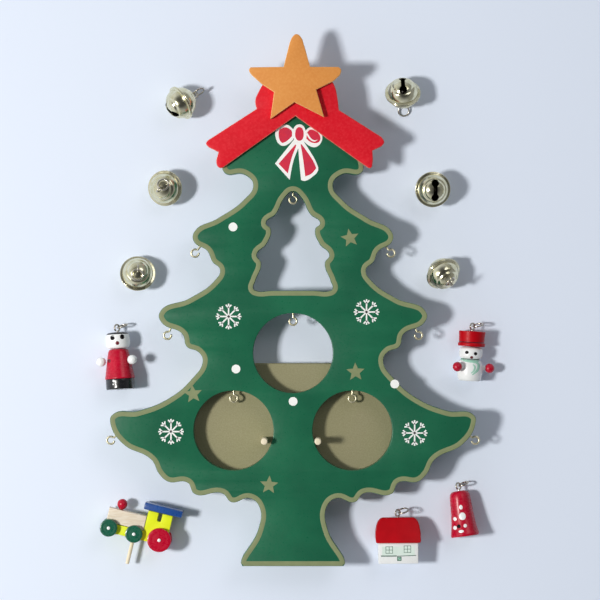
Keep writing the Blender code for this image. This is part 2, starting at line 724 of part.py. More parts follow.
def make_soldier():
    """Turned doll: coat with boots, bead head and two bead hands."""
    level = SOLDIER_WIDTH / 2
    neck = SOLDIER_BODY_HEIGHT + SEAT_GAP
    top = neck + SOLDIER_HEAD_HEIGHT
    lean = math.atan((SOLDIER_WIDTH - SOLDIER_HEAD_WIDTH) / 2 / SOLDIER_BODY_HEIGHT)
    frame = add_frame("soldier_frame", SOLDIER_PLACE_shares, SOLDIER_TURN, lean)
    body = turned("soldier_body", profile(SOLDIER_BODY_shares, SOLDIER_WIDTH, SOLDIER_BODY_HEIGHT))
    dress(laid_down(body, level), RED_PAINT, frame)
    head = turned("soldier_head", profile(HEAD_shares, SOLDIER_HEAD_WIDTH, SOLDIER_HEAD_HEIGHT, neck))
    dress(combine(laid_down(head, level), [eye_hole((top, level))]), WHITE_PAINT, frame)
    coat = radius_at(SOLDIER_BODY_shares, SOLDIER_WIDTH, HAND_HEIGHT_share)
    reach = coat + BEAD_DIAMETER / 2 + 2 * SEAT_GAP
    height = HAND_HEIGHT_share * SOLDIER_BODY_HEIGHT
    for side, angle in zip(("left", "right"), HAND_ANGLES):
        hand = bead_beside(f"soldier_hand_{side}", reach, angle, height, level)
        dress(hand, WHITE_PAINT, frame)
    add_eye("soldier", frame, (top, level))
    settle(frame)


def make_snowman():
    """Turned snowman: body with arm pegs, head, tall hat and bead mittens."""
    level = HAT_WIDTH / 2
    chin = SNOWMAN_BODY_HEIGHT + SEAT_GAP
    brow = chin + SNOWMAN_HEAD_HEIGHT + SEAT_GAP
    top = brow + HAT_HEIGHT
    frame = add_frame("snowman_frame", SNOWMAN_PLACE_shares, SNOWMAN_TURN)
    body = turned("snowman_body", profile(SNOWMAN_BODY_shares, SNOWMAN_WIDTH, SNOWMAN_BODY_HEIGHT))
    body = laid_down(body, level)
    height = ARM_HEIGHT_share * SNOWMAN_BODY_HEIGHT
    skin = radius_at(SNOWMAN_BODY_shares, SNOWMAN_WIDTH, ARM_HEIGHT_share)
    reach = skin + ARM_REACH
    centre = reach + BEAD_DIAMETER / 2 + SEAT_GAP
    arms = []
    for side, angle in zip(("left", "right"), ARM_ANGLES):
        arm = cylinder("arm", ARM_DIAMETER / 2, reach, steps=10)
        out = Matrix.Rotation(-angle, 4, "Y") @ Matrix.Rotation(math.pi / 2, 4, "Y")
        middle = Matrix.Translation((0, 0, reach / 2))
        arm.matrix_world = Matrix.Translation((0, height, level)) @ out @ middle
        arms.append(arm)
        bead = bead_beside(f"snowman_mitten_{side}", centre, angle, height, level)
        dress(bead, RED_PAINT, frame)
    dress(combine(body, arms, "UNION"), WHITE_PAINT, frame)
    head = turned("snowman_head", profile(HEAD_shares, SNOWMAN_HEAD_WIDTH, SNOWMAN_HEAD_HEIGHT, chin))
    dress(laid_down(head, level), WHITE_PAINT, frame)
    hat = turned("snowman_hat", profile(HAT_shares, HAT_WIDTH, HAT_HEIGHT, brow))
    dress(combine(laid_down(hat, level), [eye_hole((top, level))]), RED_PAINT, frame)
    add_eye("snowman", frame, (top, level))
    settle(frame)


def make_house():
    """Block of walls under a hipped roof, lying on its back."""
    eaves = HOUSE_WALL_HEIGHT + SEAT_GAP
    top = eaves + ROOF_HEIGHT
    lean = -math.atan(ROOF_OVERHANG / eaves)
    frame = add_frame("house_frame", HOUSE_PLACE_shares, HOUSE_TURN, lean)
    lay_below_base(frame, top + EYE_NECK + 2 * EYE_RADIUS + RING_RADIUS + RING_WIRE / 2)
    walls = block("house_walls", HOUSE_WIDTH, HOUSE_WALL_HEIGHT, HOUSE_DEPTH)
    move_mesh(walls, Matrix.Translation((0, HOUSE_WALL_HEIGHT / 2, HOUSE_DEPTH / 2)))
    dress(rounded(walls, EDGE_ROUND), WHITE_PAINT, frame)
    width = HOUSE_WIDTH + 2 * ROOF_SIDE_OVERHANG
    depth = HOUSE_DEPTH + 2 * ROOF_OVERHANG
    roof = block("house_roof", width, ROOF_HEIGHT, depth)
    for vertex in roof.data.vertices:
        if vertex.co.y > 0:
            vertex.co.x *= RIDGE_LENGTH / width
            vertex.co.z *= RIDGE_WIDTH / depth
    move_mesh(roof, Matrix.Translation((0, eaves + ROOF_HEIGHT / 2, HOUSE_DEPTH / 2)))
    roof = combine(rounded(roof, EDGE_ROUND), [eye_hole((top, HOUSE_DEPTH / 2))])
    dress(roof, RED_PAINT, frame)
    add_eye("house", frame, (top, HOUSE_DEPTH / 2))
    settle(frame)


def make_drop_bell():
    """Turned solid bell that lies on its side."""
    level = DROP_BELL_WIDTH / 2
    shoulder = DROP_BELL_shares[3]
    lean = math.atan(level * (1 - shoulder[0]) / (shoulder[1] * DROP_BELL_HEIGHT))
    frame = add_frame("drop_bell_frame", DROP_BELL_PLACE_shares, DROP_BELL_TURN, lean)
    body = turned("drop_bell_body", profile(DROP_BELL_shares, DROP_BELL_WIDTH, DROP_BELL_HEIGHT))
    body = combine(laid_down(body, level), [eye_hole((DROP_BELL_HEIGHT, level))])
    dress(body, RED_PAINT, frame)
    add_eye("drop_bell", frame, (DROP_BELL_HEIGHT, level))
    settle(frame)


def straight_outline(points):
    """Closed outline whose points are all corners."""
    return [(x, y, True) for x, y in points]


def along_z(name, radius, length, x, y):
    """Cutter along Z at a point of the train's side view."""
    hole = cylinder(name, radius, length, CUTTERS, 12)
    hole.location = (x, y, 0)
    return hide_cutter(hole)


def upright_hole(name, radius, x, low, high):
    """Cutter along Y in the train's middle plane."""
    hole = cylinder(name, radius, high - low, CUTTERS, 10)
    hole.rotation_euler.x = math.pi / 2
    hole.location = (x, (low + high) / 2, 0)
    return hide_cutter(hole)


def make_train():
    """Toy train: cab and chassis in one, boiler, chimney, roof, wheel sets and peg."""
    frame = add_frame("train_frame", TRAIN_PLACE_shares, TRAIN_TURN)
    half = CHASSIS_HEIGHT / 2
    front = -WHEEL_SPACING - CHASSIS_REACH
    cab_front = front + BOILER_LENGTH + SEAT_GAP
    cab_back = cab_front + CAB_LENGTH
    cab_top = half + CAB_HEIGHT
    lay_below_base(frame, cab_top + SEAT_GAP + TRAIN_ROOF_THICKNESS)
    notch = (cab_front + cab_back) / 2
    side_view = straight_outline((
        (front, -half), (cab_back, -half), (cab_back, cab_top), (notch + NOTCH_WIDTH / 2, cab_top),
        (notch + NOTCH_WIDTH / 2, cab_top - NOTCH_DEPTH), (notch - NOTCH_WIDTH / 2, cab_top - NOTCH_DEPTH),
        (notch - NOTCH_WIDTH / 2, cab_top), (cab_front, cab_top), (cab_front, half), (front, half)))
    body = baked(flat_plate("train_body", [side_view], CHASSIS_WIDTH, -CHASSIS_WIDTH / 2, 0, 1))
    through = CHASSIS_WIDTH + 2 * CUT_OVERRUN
    axles = (("front", -WHEEL_SPACING, SMALL_WHEEL_DIAMETER), ("middle", 0.0, SMALL_WHEEL_DIAMETER),
             ("rear", WHEEL_SPACING, REAR_WHEEL_DIAMETER))
    holes = [along_z("bore", AXLE_DIAMETER / 2 + SPIN_GAP, through, x, 0) for _, x, _ in axles]
    peg_radius = TRAIN_PEG_DIAMETER / 2
    holes.append(upright_hole("peg_hole", peg_radius + SEAT_GAP, 0,
                              -half - CUT_OVERRUN, TRAIN_PEG_SEAT - half))
    dress(combine(body, holes), YELLOW_PAINT, frame)

    boiler_low = half + SEAT_GAP
    boiler_top = boiler_low + BOILER_HEIGHT
    boiler = block("train_boiler", BOILER_LENGTH, BOILER_HEIGHT, CHASSIS_WIDTH)
    move_mesh(boiler, Matrix.Translation((front + BOILER_LENGTH / 2, boiler_low + BOILER_HEIGHT / 2, 0)))
    boiler = rounded(boiler, EDGE_ROUND)
    chimney_x = front + CHIMNEY_share * BOILER_LENGTH
    arch = along_z("arch", boiler_low + ARCH_RISE, through, -WHEEL_SPACING, 0)
    stem_hole = upright_hole("stem_hole", CHIMNEY_STEM / 2 + SEAT_GAP, chimney_x,
                             boiler_top - CHIMNEY_SEAT, boiler_top + CUT_OVERRUN)
    dress(combine(boiler, [arch, stem_hole]), BARE_WOOD, frame)

    chimney = ball("train_chimney", CHIMNEY_DIAMETER, 12, 8)
    centre = boiler_top + SEAT_GAP + CHIMNEY_DIAMETER / 2
    stem = upright_hole("stem", CHIMNEY_STEM / 2, 0, boiler_top - CHIMNEY_SEAT + SEAT_GAP - centre, 0)
    move_mesh(combine(chimney, [stem], "UNION"), Matrix.Translation((chimney_x, centre, 0)))
    dress(bpy.data.objects["train_chimney"], RED_PAINT, frame)

    roof = block("train_roof", TRAIN_ROOF_LENGTH, TRAIN_ROOF_THICKNESS, TRAIN_ROOF_WIDTH)
    level = cab_top + SEAT_GAP + TRAIN_ROOF_THICKNESS / 2
    move_mesh(roof, Matrix.Translation((notch + TRAIN_ROOF_SHIFT, level, 0)))
    dress(rounded(roof, EDGE_ROUND), BLUE_PAINT, frame)

    wheel_middle = CHASSIS_WIDTH / 2 + SEAT_GAP + WHEEL_THICKNESS / 2
    axle_length = 2 * (wheel_middle + WHEEL_THICKNESS / 2 + AXLE_STUB)
    for name, x, diameter in axles:
        axle = cylinder(f"train_wheels_{name}", AXLE_DIAMETER / 2, axle_length, steps=12)
        wheels = []
        for side in (1, -1):
            wheel = rounded(cylinder("wheel", diameter / 2, WHEEL_THICKNESS, steps=18), EDGE_ROUND)
            wheel.location.z = side * wheel_middle
            wheels.append(wheel)
        wheel_set = combine(axle, wheels, "UNION")
        wheel_set.location.x = x
        dress(wheel_set, RED_PAINT if name == "rear" else GREEN_PAINT, frame)

    peg_length = TRAIN_PEG_REACH + TRAIN_PEG_SEAT - SEAT_GAP
    peg = cylinder("train_peg", peg_radius, peg_length, steps=10)
    place = Matrix.Translation((0, TRAIN_PEG_SEAT - SEAT_GAP - half - peg_length / 2, 0))
    dress(move_mesh(peg, place @ Matrix.Rotation(math.pi / 2, 4, "X")), BARE_WOOD, frame)
    settle(frame)


make_tree_board()
make_tree_trim()
make_hooks()
make_base()
make_bells()
make_soldier()
make_snowman()
make_house()
make_drop_bell()
make_train()
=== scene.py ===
# %% [markdown]
# # A wooden Christmas tree with its ornaments
#
# The real object is a gift set. A fir tree is sawn from thin board and painted, a ribbon bow and a
# star are glued on it, and little screw hooks hold six jingle bells and five wooden ornaments.
# Here everything lies flat, as it is packed, and the camera looks straight down.
#
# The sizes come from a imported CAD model, which this script loads first. Each visible piece is then
# made again with more detail, in the same place. All sizes are in metres, and `MM` is one
# millimetre.

# %% Load the sized model
import math
from functools import partial

import bmesh
import bpy
from mathutils import Matrix, Vector
from mathutils.bvhtree import BVHTree


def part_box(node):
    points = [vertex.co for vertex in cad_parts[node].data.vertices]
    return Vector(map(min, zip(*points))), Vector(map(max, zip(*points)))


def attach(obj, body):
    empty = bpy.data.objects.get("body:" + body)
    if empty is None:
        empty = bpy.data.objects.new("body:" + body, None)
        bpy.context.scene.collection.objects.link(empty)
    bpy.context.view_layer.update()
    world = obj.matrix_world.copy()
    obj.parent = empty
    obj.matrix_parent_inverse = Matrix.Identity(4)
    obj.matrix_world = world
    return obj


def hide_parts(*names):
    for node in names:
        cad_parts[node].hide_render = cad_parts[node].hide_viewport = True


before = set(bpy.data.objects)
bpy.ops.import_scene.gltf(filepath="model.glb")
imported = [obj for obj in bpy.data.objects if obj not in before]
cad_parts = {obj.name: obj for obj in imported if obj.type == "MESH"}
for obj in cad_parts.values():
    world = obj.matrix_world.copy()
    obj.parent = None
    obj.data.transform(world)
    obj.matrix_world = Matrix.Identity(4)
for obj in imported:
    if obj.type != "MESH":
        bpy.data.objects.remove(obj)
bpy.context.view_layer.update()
MM = 0.001

# %% [markdown]
# ## Camera, floor and lights
#
# The set is seen from straight above, so the camera sits high over it with a long lens. A long lens
# from far away keeps the sides of the ornaments from showing, as in a catalogue picture.
# One soft lamp stands low on the left. It draws the soft shadows that show how thick the board is.
# A wider one on the right fills those shadows. The room is lighter at its walls than at its
# ceiling, so gloss paint seen from above keeps its colour and round brass shows a darker middle.

# %% Camera straight above the set
scene = bpy.context.scene
VIEW_CENTRE = Vector((4.675 * MM, 68.5 * MM, 0))
VIEW_WIDTH, VIEW_LEVEL, CAMERA_HEIGHT = 315 * MM, 18 * MM, 1.4
camera_data = bpy.data.cameras.new("overhead_camera")
camera_data.sensor_width = 36.0
camera_data.lens = camera_data.sensor_width * (CAMERA_HEIGHT - VIEW_LEVEL) / VIEW_WIDTH
camera_data.clip_end = 20
scene.camera = bpy.data.objects.new("overhead_camera", camera_data)
scene.camera.location = VIEW_CENTRE + Vector((0, 0, CAMERA_HEIGHT))
scene.collection.objects.link(scene.camera)
scene.view_settings.view_transform = "Standard"
print("lens:", round(camera_data.lens, 1), "mm")


# %% Helpers for nodes and colours
def to_linear(code):
    """Turn an sRGB hex colour into the linear colour that shaders use."""
    channels = [int(code[i:i + 2], 16) / 255 for i in (1, 3, 5)]
    return (*[c / 12.92 if c <= 0.04045 else ((c + 0.055) / 1.055) ** 2.4 for c in channels], 1.0)


def add_node(tree, kind, inputs=None, **settings):
    """Add a node, set its properties and inputs. A node given as an input links its first output."""
    full = next(family + kind for family in ("ShaderNode", "GeometryNode", "")
                if hasattr(bpy.types, family + kind))
    node = tree.nodes.new(full)
    for name, value in settings.items():
        setattr(node, name, value)
    for key, value in (inputs or {}).items():
        for one in value if isinstance(value, list) else [value]:
            if isinstance(one, bpy.types.Node):
                one = one.outputs[0]
            if isinstance(one, bpy.types.NodeSocket):
                tree.links.new(one, node.inputs[key])
            else:
                node.inputs[key].default_value = to_linear(one) if str(one).startswith("#") else one
    return node


# %% Floor, sky and lamps
FLOOR_HALF, FLOOR_LEVEL = 3.0, -0.15 * MM
floor_finish = bpy.data.materials.new("matt_paper_floor")
floor_finish.use_nodes = True
shader = floor_finish.node_tree.nodes["Principled BSDF"]
shader.inputs["Base Color"].default_value = to_linear("#E3ECFC")
shader.inputs["Roughness"].default_value = 0.9
floor_mesh = bpy.data.meshes.new("floor")
floor_mesh.from_pydata([(x * FLOOR_HALF, y * FLOOR_HALF, 0) for x, y in ((-1, -1), (1, -1), (1, 1), (-1, 1))],
                       [], [(0, 1, 2, 3)])
floor_mesh.materials.append(floor_finish)
floor = bpy.data.objects.new("floor", floor_mesh)
floor.location.z = FLOOR_LEVEL
scene.collection.objects.link(floor)

scene.world = bpy.data.worlds.new("pale_room")
scene.world.use_nodes = True
room = scene.world.node_tree
facing = add_node(room, "SeparateXYZ", {0: add_node(room, "TexCoord").outputs["Generated"]})
ceiling = add_node(room, "MapRange", {0: facing.outputs["Z"], 1: 0.35, 2: 0.92, 3: 0.62, 4: 0.07},
                   interpolation_type="SMOOTHSTEP")
window = add_node(room, "MapRange", {0: facing.outputs["X"], 1: -0.7, 2: 0.7, 3: 1.4, 4: 0.5})
strength = add_node(room, "Math", {0: ceiling, 1: window}, operation="MULTIPLY")
room.nodes["Background"].inputs["Color"].default_value = to_linear("#F2F5FA")
room.links.new(strength.outputs[0], room.nodes["Background"].inputs["Strength"])


def add_lamp(name, place, size, watts, colour="#FFFFFF"):
    """Square soft lamp that faces the middle of the set."""
    data = bpy.data.lights.new(name, "AREA")
    data.size = size
    data.energy = watts
    data.color = to_linear(colour)[:3]
    lamp = bpy.data.objects.new(name, data)
    lamp.location = place
    lamp.rotation_euler = (VIEW_CENTRE - Vector(place)).to_track_quat("-Z", "Y").to_euler()
    scene.collection.objects.link(lamp)


add_lamp("window_on_the_left", (-0.85, -0.01, 1.13), 0.18, 15.6, "#FFFDF8")
add_lamp("wall_on_the_right", (0.75, 0.95, 1.35), 0.8, 3.5)

# %% [markdown]
# ## Finishes
#
# Nearly everything here is painted wood. Poster paint and enamel go on with a brush or a roller, so
# no surface is quite even: the colour drifts a little, and a fine ripple breaks up the shine. Each
# paint below has that drift (a soft noise a few millimetres wide) and that ripple (a fine bump).


def new_finish(name):
    """Start a material, and give back a way to add its nodes and its object coordinates."""
    material = bpy.data.materials.new(name)
    material.use_nodes = True
    tree = material.node_tree
    return material, partial(add_node, tree), add_node(tree, "TexCoord").outputs["Object"]


def spread(add, noise, low, high, least, most):
    """Stretch a noise between two of its values over a range."""
    return add("MapRange", {0: noise.outputs["Fac"], 1: low, 2: high, 3: least, 4: most})


def drifting(add, place, size, detail, first, second, low, high, amount):
    """Blend two colours by a noise whose clouds have a size in millimetres."""
    cloud = add("TexNoise", {"Vector": place, "Scale": 1 / (size * MM), "Detail": detail})
    share = spread(add, cloud, low, high, 0.0, amount)
    return add("Mix", {"Factor": share, 6: first, 7: second}, data_type="RGBA").outputs[2]


def dress(material, add, colour, roughness, height, strength, depth, **others):
    """Give a material's shader its colour, its roughness and a bump, with others by name."""
    tree = material.node_tree
    bump = add("Bump", {"Height": height, "Strength": strength, "Distance": depth * MM})
    values = {"Base Color": colour, "Roughness": roughness, "Normal": bump.outputs["Normal"],
              **{name.replace("_", " "): value for name, value in others.items()}}
    shader = tree.nodes["Principled BSDF"]
    for name, value in values.items():
        if isinstance(value, bpy.types.NodeSocket):
            tree.links.new(value, shader.inputs[name])
        else:
            shader.inputs[name].default_value = value
    return material


# %% Paint: one recipe, many colours
def paint(name, colour, shade, roughness, drift=5, ripple=1.0, depth=0.05, blotch=0.5, coat=0.0,
          sheen=0.5):
    """Brushed or rolled paint. Drift and ripple are the sizes of its pattern in millimetres."""
    material, add, place = new_finish(name)
    tone = drifting(add, place, drift, 4.0, colour, shade, 0.35, 0.65, blotch)
    fine = add("TexNoise", {"Vector": place, "Scale": 1 / (ripple * MM), "Detail": 3.0})
    dull = spread(add, fine, 0.3, 0.7, roughness - 0.06, roughness + 0.08).outputs[0]
    return dress(material, add, tone, dull, fine.outputs["Fac"], 0.5, depth, IOR=1.5, Coat_Weight=coat,
                 Specular_IOR_Level=sheen, Coat_Roughness=0.12)


GREEN_ENAMEL = paint("green_enamel_on_board", "#1E6A4B", "#175940", 0.33, 26, 0.9, 0.02, 0.7,
                     sheen=0.35)
GOLD_POSTER_PAINT = paint("olive_gold_poster_paint", "#868F66", "#78825A", 0.5, 4, 0.6)
WHITE_SCREEN_INK = paint("white_screen_ink", "#FAFAF8", "#F0F1EF", 0.55, 3, 0.5, 0.02)
RED_SCREEN_INK = paint("red_screen_ink", "#D81E3E", "#BE1C48", 0.5, 3, 0.5, 0.02)
RED_LACQUER = paint("crimson_lacquer", "#C0072E", "#A60426", 0.27, 5, 1.2, 0.04, coat=0.05,
                    sheen=0.4)
ROOF_RED = paint("deep_red_lacquer", "#BC0414", "#A80210", 0.4, 6, 1.2, 0.03, sheen=0.15)
DARK_RED_LACQUER = paint("dark_red_lacquer", "#6C0C20", "#500818", 0.3, 4)
WHITE_LACQUER = paint("white_lacquer", "#F4F6F6", "#EAECEC", 0.3, 5, 1.2, coat=0.3)
BLACK_LACQUER = paint("black_lacquer", "#1B1C20", "#101114", 0.25, 4, 1.2, coat=0.3)
MATT_BLACK = paint("matt_black_poster_paint", "#151114", "#0C090B", 0.6, 2, 0.6, 0.03, sheen=0.08)
YELLOW_LACQUER = paint("yellow_lacquer", "#EFFA26", "#E4EE1C", 0.32)
BLUE_LACQUER = paint("blue_lacquer", "#214F97", "#173C7C", 0.3, coat=0.3)
GREEN_LACQUER = paint("green_lacquer", "#146149", "#0E4A38", 0.28, 4, coat=0.3)
PALE_MINT_INK = paint("pale_mint_ink", "#E3F2EA", "#D6EADF", 0.4, 4, 1.0, 0.02)
MINT_PAINT = paint("mint_poster_paint", "#A9D9C4", "#8CC9B2", 0.5, 2, 0.5, 0.04)
print("paints:", len(bpy.data.materials))

# %% [markdown]
# The bow and the star are sprayed with a thicker paint. On the bow it dried to a mottled skin, like
# orange peel, with lighter specks. Their sides get a paler colour than the faces, a painted highlight
# for the lit cut edges.

# %% Mottled spray paint, and paler copies as painted highlight on the cut edges
def mottled_paint(name, colour, speck, shade, amount, roughness=0.42):
    """Spray paint that dried to an orange-peel skin of small cells."""
    material, add, place = new_finish(name)
    cells = add("TexVoronoi", {"Vector": place, "Scale": 1 / (0.9 * MM)})
    base = drifting(add, place, 14, 2.0, colour, shade, 0.4, 0.7, 0.5)
    tone = drifting(add, place, 1.3, 5.0, base, speck, 0.42, 0.68, amount)
    return dress(material, add, tone, roughness, cells.outputs["Distance"], 0.35, 0.05,
                 Specular_IOR_Level=0.25)


RED_SPRAY = mottled_paint("mottled_red_spray_paint", "#DC1226", "#E8343E", "#CC0C1E", 0.45)
# Paler copies for the sides of the plates: painted highlight on the lit cut edges.
RED_EDGE_PAINTED_HIGHLIGHT = mottled_paint("red_edge_painted_highlight", "#DC6456", "#EC9A84", "#CC463F", 0.6, 0.6)
ORANGE_SPRAY = mottled_paint("orange_spray_paint", "#E0944A", "#E9A55C", "#D98840", 0.4, 0.5)
ORANGE_EDGE_PAINTED_HIGHLIGHT = mottled_paint("orange_edge_painted_highlight", "#E8B070", "#F2C890", "#D89850", 0.6, 0.6)


# %% [markdown]
# The base plate is medium-density fibreboard, bare but for a thin khaki stain: matt, with short fine
# fibres in it. The dowels, the stick and the train's boiler are bare beech or birch, pale and
# close-grained, with faint long streaks along the grain. The grain is drawn wider than life, half a
# millimetre, so that it shows.

# %% Fibreboard and bare wood
def fibreboard(name, colour, patch, fibre):
    """Stained fibreboard: matt, with short fibres that lie every way."""
    material, add, place = new_finish(name)
    base = drifting(add, place, 22, 3.0, colour, patch, 0.3, 0.7, 0.45)
    fibres = add("TexNoise", {"Vector": place, "Scale": 1 / (0.7 * MM), "Detail": 6.0, "Roughness": 0.7})
    share = spread(add, fibres, 0.4, 0.75, 0.0, 0.6)
    tone = add("Mix", {"Factor": share, 6: base, 7: fibre}, data_type="RGBA").outputs[2]
    return dress(material, add, tone, 0.78, fibres.outputs["Fac"], 0.4, 0.04)


def bare_wood(name, pale, dark, along=(1.0, 0.08, 1.0), grain=0.5):
    """Sanded pale wood, its grain stretched along one axis."""
    material, add, place = new_finish(name)
    stretch = add("Mapping", {"Vector": place, "Scale": along})
    streaks = add("TexNoise", {"Vector": stretch, "Scale": 1 / (grain * MM), "Detail": 5.0, "Distortion": 0.3})
    share = spread(add, streaks, 0.35, 0.7, 0.0, 0.8)
    tone = add("Mix", {"Factor": share, 6: pale, 7: dark}, data_type="RGBA").outputs[2]
    return dress(material, add, tone, 0.6, streaks.outputs["Fac"], 0.4, 0.04)


KHAKI_FIBREBOARD = fibreboard("khaki_fibreboard", "#928E68", "#958D70", "#AFA98A")
BEECH_DOWEL = bare_wood("beech_dowel", "#F0E6CC", "#DCC9A4")
BIRCH_BLOCK = bare_wood("birch_block", "#EFE4D2", "#DCC9AE", (0.12, 1.0, 1.0))


# %% [markdown]
# The bells are pressed from thin steel and plated with pale brass. Plating follows every dent of
# the press, so the shine is broken by a slow wave, and rubbing dulls it in patches. The eyes and
# jump rings are nickel-plated wire: brighter, greyer, with fine drawing lines. The hooks are yellower.

# %% Plated metal
def plated_metal(name, colour, tarnish, roughness, wave, depth):
    """Bright plating over pressed or drawn metal, waved and dulled a little."""
    material, add, place = new_finish(name)
    patch = add("TexNoise", {"Vector": place, "Scale": 1 / (wave * MM), "Detail": 4.0})
    share = spread(add, patch, 0.4, 0.7, 0.0, 0.7)
    tone = add("Mix", {"Factor": share, 6: colour, 7: tarnish}, data_type="RGBA").outputs[2]
    dull = spread(add, patch, 0.35, 0.7, roughness, roughness + 0.14).outputs[0]
    slow = add("TexNoise", {"Vector": place, "Scale": 1 / (wave * 1.6 * MM), "Detail": 1.0})
    return dress(material, add, tone, dull, slow.outputs["Fac"], 0.6, depth, Metallic=1.0)


BRASS_PLATING = plated_metal("pale_brass_plating", "#E6E2C6", "#C8C296", 0.14, 3.0, 0.25)
NICKEL_WIRE = plated_metal("nickel_plated_wire", "#CFC9BC", "#9C958A", 0.2, 0.8, 0.05)
BRASSY_WIRE = plated_metal("brass_plated_wire", "#E8E1C4", "#C4BA92", 0.34, 0.8, 0.05)
# Near black for the inside faces of the bells: painted shade in the closed hollow.
BELL_INSIDE_PAINTED_SHADE = paint("bell_inside_painted_shade", "#2A261C", "#1C1912", 0.6, 2, 1.4)

# %% [markdown]
# ## The sawn boards
#
# The tree, the bow and the star are flat outlines, sawn out of board. In Blender such a piece is a
# two-dimensional curve that is filled, extruded and bevelled. Half of each symmetric outline is
# written down, as shares of the piece's width and height, and mirrored. A point with a third value
# of 1 is a corner and keeps straight sides; the others get automatic handles, which make the
# scallops of the branches round.

# %% Helpers for finished pieces
def link_mesh(name, mesh):
    """Put a mesh, or a curve, in the scene."""
    item = bpy.data.objects.new(name, mesh)
    scene.collection.objects.link(item)
    return item


def evaluated_mesh(item):
    """Turn a curve, or a mesh with modifiers, into the plain mesh that it shows."""
    bpy.context.view_layer.update()
    seen = item.evaluated_get(bpy.context.evaluated_depsgraph_get())
    mesh = bpy.data.meshes.new_from_object(seen)
    mesh.transform(item.matrix_world)
    name = item.name
    bpy.data.objects.remove(item, do_unlink=True)
    sheet = bmesh.new()
    sheet.from_mesh(mesh)
    bmesh.ops.remove_doubles(sheet, verts=sheet.verts, dist=0.002 * MM)
    sheet.to_mesh(mesh)
    sheet.free()
    return link_mesh(name, mesh)


def finish_piece(item, body, finish=None, stands_for=(), matrix=None):
    """Place the mesh, give it its finish and shading, and let it ride on its body."""
    if matrix is not None:
        item.data.transform(matrix)
    if finish is not None:
        item.data.materials.clear()
        item.data.materials.append(finish)
    item.data.shade_smooth()
    item.data.set_sharp_from_angle(angle=math.radians(40))
    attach(item, body)
    if stands_for:
        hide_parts(*stands_for)
    worn = next(filter(None, item.data.materials))
    return item


def outline_curve(name, outlines, resolution=12):
    """Two-dimensional curve through outlines of (x, y), with a 1 at a corner."""
    curve = bpy.data.curves.new(name, "CURVE")
    curve.dimensions = "2D"
    for outline in outlines:
        spline = curve.splines.new("BEZIER")
        spline.bezier_points.add(len(outline) - 1)
        for point, (x, y, *corner) in zip(spline.bezier_points, outline):
            point.co = (x, y, 0)
            point.handle_left_type = point.handle_right_type = "VECTOR" if corner else "AUTO"
        spline.use_cyclic_u = True
        spline.resolution_u = resolution
    return curve


def sawn_board(name, outlines, back, thickness, edge_round, resolution=12):
    """Filled and extruded outline with softly rounded edges."""
    curve = outline_curve(name, outlines, resolution)
    curve.fill_mode = "BOTH"
    curve.extrude = thickness / 2 - edge_round
    curve.bevel_depth = edge_round
    curve.bevel_resolution = 2
    curve.offset = -edge_round
    item = link_mesh(name, curve)
    item.location.z = back + thickness / 2
    return evaluated_mesh(item)


def cut_out(item, tool):
    """Cut one mesh out of another."""
    cut = item.modifiers.new(tool.name, "BOOLEAN")
    cut.solver = "EXACT"
    cut.object = tool
    item = evaluated_mesh(item)
    bpy.data.objects.remove(tool, do_unlink=True)
    return item


# %% Sizes of the tree, and its outline
TREE_AXIS = 1.0 * MM
TREE_WIDTH, TREE_HEIGHT = 192.6 * MM, 256.2 * MM
TREE_FOOT = -0.278 * TREE_HEIGHT
BOARD_BACK, BOARD_FACE = 9.3 * MM, 18.3 * MM
BOARD_MIDDLE = (BOARD_BACK + BOARD_FACE) / 2
BOARD_EDGE_ROUND = 0.4 * MM
TREE_SHARES = (
    (0, 1, 1), (0.120, 0.959), (0.207, 0.922), (0.300, 0.877), (0.384, 0.823), (0.372, 0.806), (0.267, 0.803),
    (0.217, 0.782), (0.270, 0.750), (0.409, 0.713), (0.540, 0.684), (0.540, 0.665), (0.465, 0.645),
    (0.440, 0.624), (0.398, 0.607), (0.430, 0.584), (0.563, 0.549), (0.728, 0.519), (0.716, 0.499),
    (0.602, 0.475), (0.580, 0.450), (0.514, 0.438), (0.492, 0.421), (0.553, 0.383), (0.675, 0.344),
    (0.842, 0.318), (0.988, 0.309), (0.994, 0.290), (0.926, 0.250), (0.772, 0.218), (0.728, 0.188),
    (0.680, 0.173), (0.575, 0.171), (0.537, 0.148), (0.385, 0.149), (0.335, 0.131), (0.235, 0.139),
    (0.183, 0.121), (0.190, 0.074), (0.284, 0.008), (0.276, 0, 1))
WINDOW_SHARES = (
    (0, 1), (0.20, 0.94), (0.43, 0.77), (0.67, 0.68), (0.55, 0.62), (0.66, 0.47), (0.90, 0.36), (0.79, 0.28),
    (0.93, 0.10), (0.98, 0.02), (0.92, 0), (0.50, 0))
WINDOW_WIDTH, WINDOW_HEIGHT = 42.5 * MM, 52.2 * MM
WINDOW_FOOT = TREE_FOOT + 0.5645 * TREE_HEIGHT
CIRCLE_RADIUS = 21 * MM


def on_tree(x, y):
    """Point of the tree from shares of half its width and of its height."""
    return (TREE_AXIS + x * TREE_WIDTH / 2, TREE_FOOT + y * TREE_HEIGHT)


def sized(half, width, height, foot):
    """Outline in metres from a right-hand half in shares, closed round its left-hand mirror."""
    shares = list(half) + [(-x, y, *corner) for x, y, *corner in reversed(half) if x > 0]
    return [(TREE_AXIS + x * width / 2, foot + y * height, *corner) for x, y, *corner in shares]


